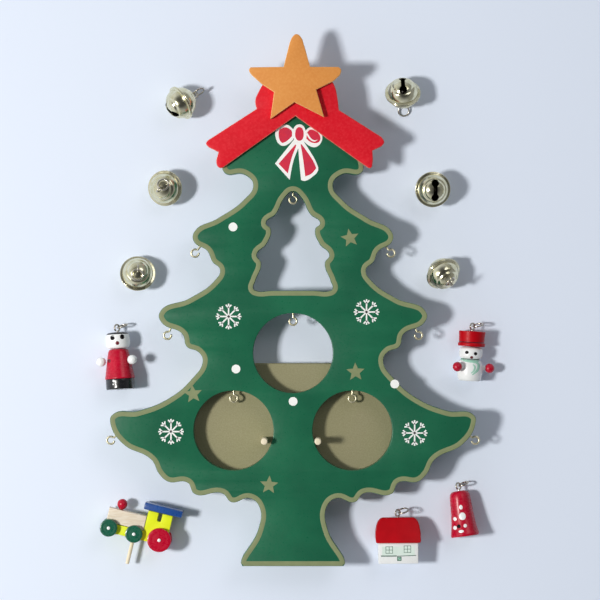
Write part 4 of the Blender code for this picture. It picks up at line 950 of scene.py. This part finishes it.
def two_finishes(item, owner, node, place, first, second, low, high):
    """Finish a piece, with a second finish on its faces between two heights in millimetres."""
    finish_piece(item, owner, first, [node])
    item.data.materials.append(second)
    for polygon in item.data.polygons:
        polygon.material_index = int(low * MM < polygon.center.y < high * MM)
    item.data.transform(place)


# %% [markdown]
# Painted spots are drops of thick paint. Each one is a small net of faces that is let down onto the
# wood by ray casting, raised in its middle, and given a thickness by a Solidify modifier, so it
# follows the round surface and stands up from it a little.

# %% Drops and strokes of paint that follow the wood
PAINT_THICKNESS, PAINT_SINK, ABOVE_WOOD, MISSED_LEVEL = 0.12 * MM, 0.02 * MM, 40 * MM, 5 * MM
DROP_AROUND, DROP_RINGS, STROKE_STEPS = 28, 6, 8
ACROSS_STROKE = (-1, -0.7, -0.3, 0.3, 0.7, 1)


def surface_of(items):
    """Search tree over the faces of some pieces, to let paint down onto."""
    corners, faces = [], []
    for item in items:
        first = len(corners)
        corners += [vertex.co.copy() for vertex in item.data.vertices]
        faces += [[first + index for index in polygon.vertices] for polygon in item.data.polygons]
    return BVHTree.FromPolygons(corners, faces)


def settled_net(name, places, faces, wood, crown):
    """Net of faces let down onto wood; places hold x, y and how far up the drop they are."""
    corners = []
    for x, y, share in places:
        hit, normal, _, _ = wood.ray_cast(Vector((x, y, ABOVE_WOOD)), Vector((0, 0, -1)))
        corners.append(hit + normal * (share * crown - PAINT_SINK) if hit else Vector((x, y, MISSED_LEVEL)))
    mesh = bpy.data.meshes.new(name)
    mesh.from_pydata(corners, [], faces)
    item = link_mesh(name, mesh)
    skin = item.modifiers.new("paint_thickness", "SOLIDIFY")
    skin.thickness = PAINT_THICKNESS
    skin.offset = -1
    return evaluated_mesh(item)


def paint_drop(name, wood, x, y, wide, high, crown=0.10):
    """Round or oval drop, in millimetres."""
    places, faces = [(x * MM, y * MM, 1)], []
    for ring in range(1, DROP_RINGS + 1):
        share = ring / DROP_RINGS
        for step in range(DROP_AROUND):
            a = math.tau * step / DROP_AROUND
            places.append(((x + wide / 2 * share * math.cos(a)) * MM, (y + high / 2 * share * math.sin(a)) * MM,
                           1 - share ** 3))
    for step in range(DROP_AROUND):
        after = (step + 1) % DROP_AROUND
        faces.append((0, 1 + step, 1 + after))
        for ring in range(DROP_RINGS - 1):
            a, b = 1 + ring * DROP_AROUND, 1 + (ring + 1) * DROP_AROUND
            faces.append((a + step, b + step, b + after, a + after))
    return settled_net(name, places, faces, wood, crown * MM)


def paint_stroke(name, wood, path, widths, crown=0.10):
    """Brush stroke through points, in millimetres, with a width at each point."""
    fine = []
    for place in range(len(path) - 1):
        before, after = path[max(place - 1, 0)], path[min(place + 2, len(path) - 1)]
        span = smooth_span(path, place, STROKE_STEPS, before, after)
        fine += [(*spot, widths[place] + (widths[place + 1] - widths[place]) * (step / STROKE_STEPS))
                 for step, spot in enumerate(span)]
    fine.append((*path[-1], widths[-1]))
    places, faces = [], []
    for number, (x, y, width) in enumerate(fine):
        before, after = fine[max(number - 1, 0)], fine[min(number + 1, len(fine) - 1)]
        run = Vector((after[0] - before[0], after[1] - before[1])).normalized()
        for share in ACROSS_STROKE:
            places.append(((x - run.y * share * width / 2) * MM, (y + run.x * share * width / 2) * MM,
                           1 - share ** 4))
    row = len(ACROSS_STROKE)
    for number in range(len(fine) - 1):
        for across in range(row - 1):
            a, b = number * row + across, (number + 1) * row + across
            faces.append((a, b, b + 1, a + 1))
    return settled_net(name, places, faces, wood, crown * MM)


def paint_marks(body, label, place, wood, marks):
    """Paint rows of name, finish, and the rest of what a drop or a stroke takes."""
    for name, finish, *shape in marks:
        brush = paint_stroke if isinstance(shape[0], list) else paint_drop
        finish_piece(brush(f"{label}_{name}", wood, *shape), body, finish, matrix=place)


# %% [markdown]
# Every ornament hangs from a screw eye with a jump ring in it. The eye is the hook's bent wire with
# a longer bend, turned over, so the same Geometry Nodes make it.

# %% Screw eye and ring for an ornament
EYE_RADIUS, EYE_NECK, EYE_SHANK, EYE_BEND = 1.75 * MM, 0.7 * MM, 3.2 * MM, math.radians(318)
EYE_LEAN, RING_PLACE, RING_LEAN = math.radians(45), math.radians(20), math.radians(55)


def hang_up(owner, place, top, level):
    """Screw eye in the top of an ornament, with its jump ring. Top and level are in millimetres."""
    eye = grow(f"{owner}_screw_eye", wire_carrier("eye_point", [(0, 0, 0, (1, -1, 1))], 0), hook_tree,
               NICKEL_WIRE, Radius=EYE_RADIUS, Neck=EYE_NECK, Shank=EYE_SHANK, Bend=EYE_BEND, Wire=EYE_WIRE)
    seat = Matrix.Translation((0, top * MM, level * MM)) @ Matrix.Rotation(EYE_LEAN, 4, "Y")
    finish_piece(eye, owner, None, [f"{owner}_eye"], place @ seat)
    out = Vector((math.cos(RING_PLACE), math.sin(RING_PLACE), 0))
    link = seat @ (Vector((0, EYE_NECK + EYE_RADIUS, 0)) + EYE_RADIUS * out)
    hang_jump_ring(owner, place, link, seat.to_3x3() @ out, seat.to_3x3() @ Vector((0, 0, 1)), RING_LEAN)


BEAD_SIZE = 5.1
BEAD_ROWS = ((0, 1), (0.10, 0.998, 1), (0.40, 0.95), (0.76, 0.82), (1, 0.5), (0.76, 0.18), (0.40, 0.05),
             (0.10, 0.002, 1), (0, 0))


def add_hands(owner, place, level, finish, kind, rows):
    """Beads at the ends of arms, from rows of side, angle, height and reach, in millimetres."""
    for side, angle, height, reach in rows:
        a = math.radians(angle)
        hand = lathed(f"{owner}_{side}_{kind}_bead", BEAD_ROWS, BEAD_SIZE, BEAD_SIZE, 0, -BEAD_SIZE / 2, 48)
        hand.data.transform(Matrix.Rotation(math.pi / 2, 4, "X"))
        hand.data.transform(Matrix.Translation(
            Vector((reach * math.cos(a), height, level + reach * math.sin(a))) * MM))
        finish_piece(hand, owner, finish, [f"{owner}_{kind}_{side}"], place)


# %% Soldier: body with coat and boots, head, hands
HEAD_ROWS = ((0, 1), (0.62, 1, 1), (0.79, 0.975), (0.92, 0.88), (0.985, 0.73), (1, 0.48), (0.975, 0.23),
             (0.90, 0.09), (0.78, 0.02), (0.62, 0, 1), (0, 0))
COAT_ROWS = ((0, 1), (0.52, 1, 1), (0.66, 0.965), (0.745, 0.84), (0.83, 0.66), (0.90, 0.50), (0.985, 0.31),
             (1, 0.285, 1), (0.985, 0.262), (0.925, 0.255, 1), (0.955, 0.235), (0.957, 0.14), (0.955, 0.035),
             (0.93, 0, 1), (0, 0))
SOLDIER_LEVEL, COAT_HEIGHT, HEAD_FOOT, HEAD_HEIGHT, SOLDIER_TOP = 7.85, 21.2, 21.5, 8.6, 30.1
BOOT_TOP, CAP_EDGE, FAR = 0.256 * COAT_HEIGHT, HEAD_FOOT + 0.85 * HEAD_HEIGHT, 99
place = ornament_place(-90.196, 20.752, 0.272, 3.5, 3.913)
coat = lathed("soldier_coat_and_boots", COAT_ROWS, 15.7, COAT_HEIGHT, SOLDIER_LEVEL)
head = lathed("soldier_turned_head", HEAD_ROWS, 12.8, HEAD_HEIGHT, SOLDIER_LEVEL, HEAD_FOOT)
paint_marks("soldier", "soldier", place, surface_of([coat, head]), (
    ("eye_left", MATT_BLACK, -2.3, 26.9, 2.5, 2.3),
    ("eye_right", MATT_BLACK, 2.8, 27.2, 2.4, 2.4),
    ("brow_left", MATT_BLACK, [(-3.6, 27.4), (-2.6, 28.2), (-1.3, 28.1)], [0.25, 0.5, 0.2]),
    ("brow_right", MATT_BLACK, [(1.5, 27.8), (2.6, 28.5), (3.9, 28.0)], [0.2, 0.5, 0.25]),
    ("mouth", DARK_RED_LACQUER, 0.1, 24.2, 2.3, 2.2),
    # The dark red spot beside the left hand is painted shade, where the hand bead meets the coat.
    ("arm_socket", DARK_RED_LACQUER, -4.9, 15.2, 1.9, 2.4, 0.08),
    # The white spots on the boots are painted highlights: glints of light on the gloss.
    ("boot_fleck_1", WHITE_LACQUER, -2.9, 4.3, 1.3, 1.6),
    ("boot_fleck_2", WHITE_LACQUER, -3.2, 2.6, 0.8, 0.9),
    ("boot_fleck_3", WHITE_LACQUER, -1.9, 2.2, 0.7, 0.7)))
two_finishes(coat, "soldier", "soldier_body", place, RED_LACQUER, BLACK_LACQUER, -FAR, BOOT_TOP)
two_finishes(head, "soldier", "soldier_head", place, WHITE_LACQUER, BLACK_LACQUER, CAP_EDGE, FAR)
add_hands("soldier", place, SOLDIER_LEVEL, WHITE_LACQUER, "hand", (("left", 172, 15.05, 9.39),
                                                                   ("right", 38, 15.05, 9.39)))
hang_up("soldier", place, SOLDIER_TOP, SOLDIER_LEVEL)

# %% Snowman: body with arm pegs, head, tall hat, mittens
BODY_ROWS = ((0, 1), (0.66, 1, 1), (0.80, 0.965), (0.93, 0.86), (1, 0.62), (1, 0.36), (0.93, 0.12),
             (0.84, 0.02), (0.78, 0, 1), (0, 0))
HAT_ROWS = ((0, 1), (0.90, 1, 1), (0.965, 0.985), (0.985, 0.94), (0.955, 0.60), (0.940, 0.30),
            (0.920, 0.275, 1), (0.945, 0.235, 1), (1, 0.19), (1, 0.04), (0.96, 0, 1), (0, 0))
ARM_ROWS = ((0, 8.0), (1.15, 8.0), (1.3, 7.8), (1.3, 2), (0, 2))
SNOW_LEVEL, ARM_HEIGHT, HAT_FOOT, HAT_HEIGHT, SNOW_TOP = 7.10, 7.23, 18.3, 8.0, 26.3
SNOW_ARMS = (("left", 133), ("right", -4))
place = ornament_place(94.218, 25.748, -0.108, -3.5, 0)
snow_body = lathed("snowman_turned_body", BODY_ROWS, 13.3, 11.3, SNOW_LEVEL)
snow_head = lathed("snowman_turned_head", HEAD_ROWS, 12.4, 6.4, SNOW_LEVEL, 11.6)
hat = lathed("snowman_tall_hat", HAT_ROWS, 14.2, HAT_HEIGHT, SNOW_LEVEL, HAT_FOOT)
arms = []
for side, angle in SNOW_ARMS:
    arm = turned_shape(f"arm_{side}", ARM_ROWS, 32, MM)
    turn = Matrix.Rotation(-math.radians(angle), 4, "Y") @ Matrix.Rotation(math.pi / 2, 4, "Y")
    arm.data.transform(Matrix.Translation((0, ARM_HEIGHT * MM, SNOW_LEVEL * MM)) @ turn)
    arms.append(arm)
add_hands("snowman", place, SNOW_LEVEL, RED_LACQUER, "mitten",
          [(side, angle, ARM_HEIGHT, 10.46) for side, angle in SNOW_ARMS])
paint_marks("snowman", "snowman", place, surface_of([snow_body, snow_head, hat]), (
    ("scarf", MINT_PAINT, [(-5.0, 11.3), (-2.6, 10.75), (0.2, 10.5), (2.8, 10.8), (4.6, 11.3)],
     [1.1, 1.6, 1.7, 1.6, 1.1]),
    ("scarf_end", MINT_PAINT, [(0.9, 9.9), (2.8, 10.0), (4.1, 8.7), (3.6, 6.0), (1.0, 3.4)],
     [0.8, 1.3, 1.6, 1.6, 0.6]),
    ("scarf_fold", MINT_PAINT, [(1.0, 8.9), (2.1, 7.6), (1.7, 5.6), (0.2, 4.2)], [0.5, 1.1, 1.1, 0.4]),
    ("eye_left", MATT_BLACK, -2.5, 15.0, 2.0, 1.9),
    ("eye_right", MATT_BLACK, 2.1, 14.6, 2.0, 1.9),
    ("nose", DARK_RED_LACQUER, 0.15, 12.5, 1.8, 1.6)))
finish_piece(joined("snowman_body_and_arms", [snow_body, *arms]), "snowman", WHITE_LACQUER, ["snowman_body"],
             place)
finish_piece(snow_head, "snowman", WHITE_LACQUER, ["snowman_head"], place)
two_finishes(hat, "snowman", "snowman_hat", place, ROOF_RED, DARK_RED_LACQUER, HAT_FOOT + 0.235 * HAT_HEIGHT,
             HAT_FOOT + 0.30 * HAT_HEIGHT)
hang_up("snowman", place, SNOW_TOP, SNOW_LEVEL)

# %% Red bell: one turned piece with dotted flowers of paint
DROP_ROWS = ((0, 1), (0.30, 1, 1), (0.48, 0.99), (0.63, 0.955), (0.715, 0.88), (0.755, 0.70), (0.79, 0.52),
             (0.84, 0.34), (0.92, 0.17), (0.99, 0.065), (1, 0.04), (0.965, 0, 1), (0, 0))
DROP_LEVEL, DROP_HEIGHT, DOT_CROWN = 7.5, 24.2, 0.14
WHITE_DOTS = ((-0.35, 10.6, 3.7, 4.3), (-0.5, 15.4, 2.0, 2.6), (-4.4, 9.7, 1.8, 2.2), (0.4, 5.5, 1.9, 2.0),
              (-5.0, 5.1, 2.0, 2.2), (-2.1, 2.8, 2.9, 1.7))
place = ornament_place(92.196, -57.209, 0.028, 7.5, 5.569)
drop = lathed("red_bell", DROP_ROWS, 15, DROP_HEIGHT, DROP_LEVEL, 0.0, 80)
marks = [(f"white_dot_{number}", WHITE_LACQUER, *dot, DOT_CROWN) for number, dot in enumerate(WHITE_DOTS, 1)]
marks.append(("dark_dot", MATT_BLACK, -3.0, 5.6, 2.1, 2.2, DOT_CROWN))
paint_marks("drop_bell", "red_bell", place, surface_of([drop]), marks)
two_finishes(drop, "drop_bell", "drop_bell_body", place, RED_LACQUER, BIRCH_BLOCK, -FAR, 0.02)
hang_up("drop_bell", place, DROP_HEIGHT, DROP_LEVEL)


# %% [markdown]
# ## House
#
# A sanded block is the walls, and a second block sawn to a hipped roof sits on it. Both start as a
# box whose corners are moved, and a Bevel modifier rounds the edges as sandpaper and paint do. The
# windows and the green lines are fine printed strokes on the flat front.

# %% House: walls, roof, printed windows
place = ornament_place(56.565, -69.174, -0.042, 0.5, -6.062)


def sanded_block(name, low, high, soft=0.4, segments=3):
    """Box between two corners in millimetres, its edges sanded round."""
    shape = bmesh.new()
    bmesh.ops.create_cube(shape, size=1)
    for corner in shape.verts:
        corner.co = Vector([(low[axis] if corner.co[axis] < 0 else high[axis]) * MM for axis in range(3)])
    mesh = bpy.data.meshes.new(name)
    shape.to_mesh(mesh)
    shape.free()
    item = link_mesh(name, mesh)
    edges = item.modifiers.new("sanded_edges", "BEVEL")
    edges.width = soft * MM
    edges.segments = segments
    edges.limit_method = "ANGLE"
    return item


walls = evaluated_mesh(sanded_block("house_wall_block", (-10.5, 0, 0), (10.5, 11.0, 13)))
# Rows of height and half width; the depth leans in from the eaves to the ridge.
ROOF_ROWS = ((11.3, 11.75), (12.3, 11.9), (16.5, 11.8), (19.6, 11.3), (21.6, 10.55), (22.9, 9.5), (23.6, 8.3))
ROOF_FOOT, ROOF_TOP = ROOF_ROWS[0][0], ROOF_ROWS[-1][0]
ROOF_MIDDLE, EAVES_DEPTH, ROOF_LEAN = 6.5, 7.7, 6.6
roof = sanded_block("house_hipped_roof", (-11.9, ROOF_FOOT, -1.2), (11.9, ROOF_TOP, 14.2), 0.5)
shape = bmesh.new()
shape.from_mesh(roof.data)
for height, _ in ROOF_ROWS[1:-1]:
    bmesh.ops.bisect_plane(shape, geom=shape.verts[:] + shape.edges[:] + shape.faces[:],
                           plane_co=(0, height * MM, 0), plane_no=(0, 1, 0))
for corner in shape.verts:
    height = corner.co.y / MM
    half = min(ROOF_ROWS, key=lambda row: abs(row[0] - height))[1]
    depth = EAVES_DEPTH - ROOF_LEAN * (height - ROOF_FOOT) / (ROOF_TOP - ROOF_FOOT)
    corner.co.x = math.copysign(half * MM, corner.co.x)
    corner.co.z = (ROOF_MIDDLE + math.copysign(depth, corner.co.z - ROOF_MIDDLE * MM)) * MM
shape.to_mesh(roof.data)
shape.free()
roof = evaluated_mesh(roof)
wood = surface_of([walls])
panel = paint_stroke("house_mint_panel", wood, [(-8.6, 6.9), (0, 6.9), (8.6, 6.9)], [6.4] * 3, 0.03)
finish_piece(panel, "house", PALE_MINT_INK, matrix=place)
wood = surface_of([walls, panel])
lines = []
for x, y in ((-4.85, 7.45), (4.75, 7.85)):
    for across in (-1.75, 0, 1.75):
        lines.append(([(x + across, y + along) for along in (-1.9, 0, 1.9)], 0.30))
        lines.append(([(x + along, y + across) for along in (-1.9, 0, 1.9)], 0.30))
lines.append(([(-9.2, 4.05), (0, 4.15), (9.4, 4.5)], 0.4))
lines.append(([(-9.2, 4.5), (-4, 4.5), (-1, 4.45)], 0.22))
for across in (-0.9, 0.9):
    lines.append(([(0.45 + across, y) for y in (1.75, 2.75, 3.65)], 0.5))
    lines.append(([(x, 2.7 + across) for x in (-0.65, 0.45, 1.55)], 0.5))
lines.append(([(-0.2, 2.25), (0.45, 2.75), (1.1, 3.15)], 0.35))
strokes = [paint_stroke(f"line_{number}", wood, path, [width] * 3, 0.06)
           for number, (path, width) in enumerate(lines)]
print_lines = joined("house_printed_lines", strokes)
finish_piece(print_lines, "house", GREEN_LACQUER, matrix=place)
door = paint_stroke("house_mint_square", wood, [(-0.4, 2.7), (0.45, 2.7), (1.3, 2.7)], [1.5] * 3, 0.04)
finish_piece(door, "house", MINT_PAINT, matrix=place)
finish_piece(walls, "house", WHITE_LACQUER, ["house_walls"], place)
finish_piece(roof, "house", ROOF_RED, ["house_roof"], place)
hang_up("house", place, ROOF_TOP, ROOF_MIDDLE)

# %% [markdown]
# ## Train
#
# The train lies on its side. Its cab and chassis are one sawn and painted piece, the boiler is bare
# wood with an arch sawn out for the front wheel, and the roof is a glued slab. The six wheels are
# turned discs, pinned in pairs on thin dowels, and the stick is bare.

# %% Train: cab with chassis, boiler, roof, chimney, stick
place = ornament_place(-82.877, -54.827, 7.2, -13.6, 0)
CHASSIS_FRONT, CHASSIS_EDGE, CAB_BACK, CAB_FRONT, CAB_TOP, NOTCH = -15.9, 2.5, 17.7, 4.6, 13.7, 11.15
WHEEL_X, WHEEL_RADIUS, BLOCK_HALF = 13.7, 4.6, 3.5


def sawn_block(name, outline):
    """Train block with corners only, from points in millimetres."""
    corners = [(x * MM, y * MM, 1) for x, y in outline]
    return sawn_board(name, [corners], -BLOCK_HALF * MM, 2 * BLOCK_HALF * MM, 0.3 * MM, 2)


cab = sawn_block("train_cab_and_chassis", (
    (CHASSIS_FRONT, -CHASSIS_EDGE), (CAB_BACK, -CHASSIS_EDGE), (CAB_BACK, CAB_TOP), (NOTCH + 1.05, CAB_TOP),
    (NOTCH + 1.05, 9.6), (NOTCH + 0.55, 9.1), (NOTCH - 0.55, 9.1), (NOTCH - 1.05, 9.6), (NOTCH - 1.05, CAB_TOP),
    (CAB_FRONT, CAB_TOP), (CAB_FRONT, CHASSIS_EDGE), (CHASSIS_FRONT, CHASSIS_EDGE)))
arch = [(-WHEEL_X + WHEEL_RADIUS * math.cos(math.radians(a)), WHEEL_RADIUS * math.sin(math.radians(a)))
        for a in range(115, 37, -6)]
boiler = sawn_block("train_boiler_block", [(CHASSIS_FRONT, 10.4), (CHASSIS_FRONT, 4.05), *arch, (-9.99, 2.8),
                                           (4.3, 2.8), (4.3, 10.4)])
slab = evaluated_mesh(sanded_block("train_roof_slab", (1.9, 14.0, -5.5), (22.4, 17.6, 5.5), 0.5))
CHIMNEY_ROWS = ((0, 2.75), (0.5, 2.72), (1.4, 2.37), (2.2, 1.65), (2.64, 0.78), (2.75, 0.0), (2.64, -0.78),
                (2.2, -1.65), (1.5, -2.32), (1.1, -2.55), (1.1, -4.95), (0, -4.95))
STICK_ROWS = ((0, 0), (0.83, 0), (0.98, -0.15), (0.96, -5), (0.99, -10), (0.97, -14.7), (0.85, -14.9),
              (0, -14.9))
chimney = turned_shape("train_chimney_bead", CHIMNEY_ROWS, 48, MM)
stick = turned_shape("train_stick", STICK_ROWS, 32, MM)
for item, foot in ((chimney, (-9.84, 13.45, 0)), (stick, (0, -1.8, 0))):
    item.data.transform(Matrix.Translation(Vector(foot) * MM) @ Matrix.Rotation(-math.pi / 2, 4, "X"))
for item, finish, node in ((cab, YELLOW_LACQUER, "train_body"),
                                 (boiler, BIRCH_BLOCK, "train_boiler"),
                                 (slab, BLUE_LACQUER, "train_roof"),
                                 (chimney, RED_LACQUER, "train_chimney"),
                                 (stick, BEECH_DOWEL, "train_peg")):
    finish_piece(item, "train", finish, [node], place)

# %% Train: three wheel sets with white pin ends
def wheel_profile(radius):
    """Turned disc, in millimetres, with chamfers and a shallow turned ring on its face."""
    face = [(0, 1.4), (0.9, 1.4), (radius * 0.55, 1.4), (radius * 0.62, 1.33), (radius * 0.69, 1.4),
            (radius - 0.45, 1.4), (radius - 0.15, 1.28), (radius, 0.95)]
    return face + [(r, -h) for r, h in reversed(face)]


AXLE_END = ((0, 7.2), (0.55, 7.18), (0.85, 7.0), (0.9, 6.7))
AXLE_ROWS = [*AXLE_END, *((r, -h) for r, h in reversed(AXLE_END))]
WHEEL_LEVEL = 5.2
for name, x, radius, finish in (("front", -WHEEL_X, WHEEL_RADIUS, GREEN_LACQUER),
                                ("middle", 0.0, WHEEL_RADIUS, GREEN_LACQUER),
                                ("rear", WHEEL_X, 6.3, RED_LACQUER)):
    parts = []
    for side in (1, -1):
        wheel = turned_shape("wheel", wheel_profile(radius), 72, MM)
        wheel.data.transform(Matrix.Translation((0, 0, side * WHEEL_LEVEL * MM)))
        parts.append(wheel)
    pair = joined(f"train_{name}_wheels", parts)
    spot = place @ Matrix.Translation((x * MM, 0, 0))
    axle = turned_shape(f"train_{name}_axle", AXLE_ROWS, 32, MM)
    finish_piece(pair, f"train_wheels_{name}", finish, [f"train_wheels_{name}"], spot)
    finish_piece(axle, f"train_wheels_{name}", WHITE_LACQUER, matrix=spot)
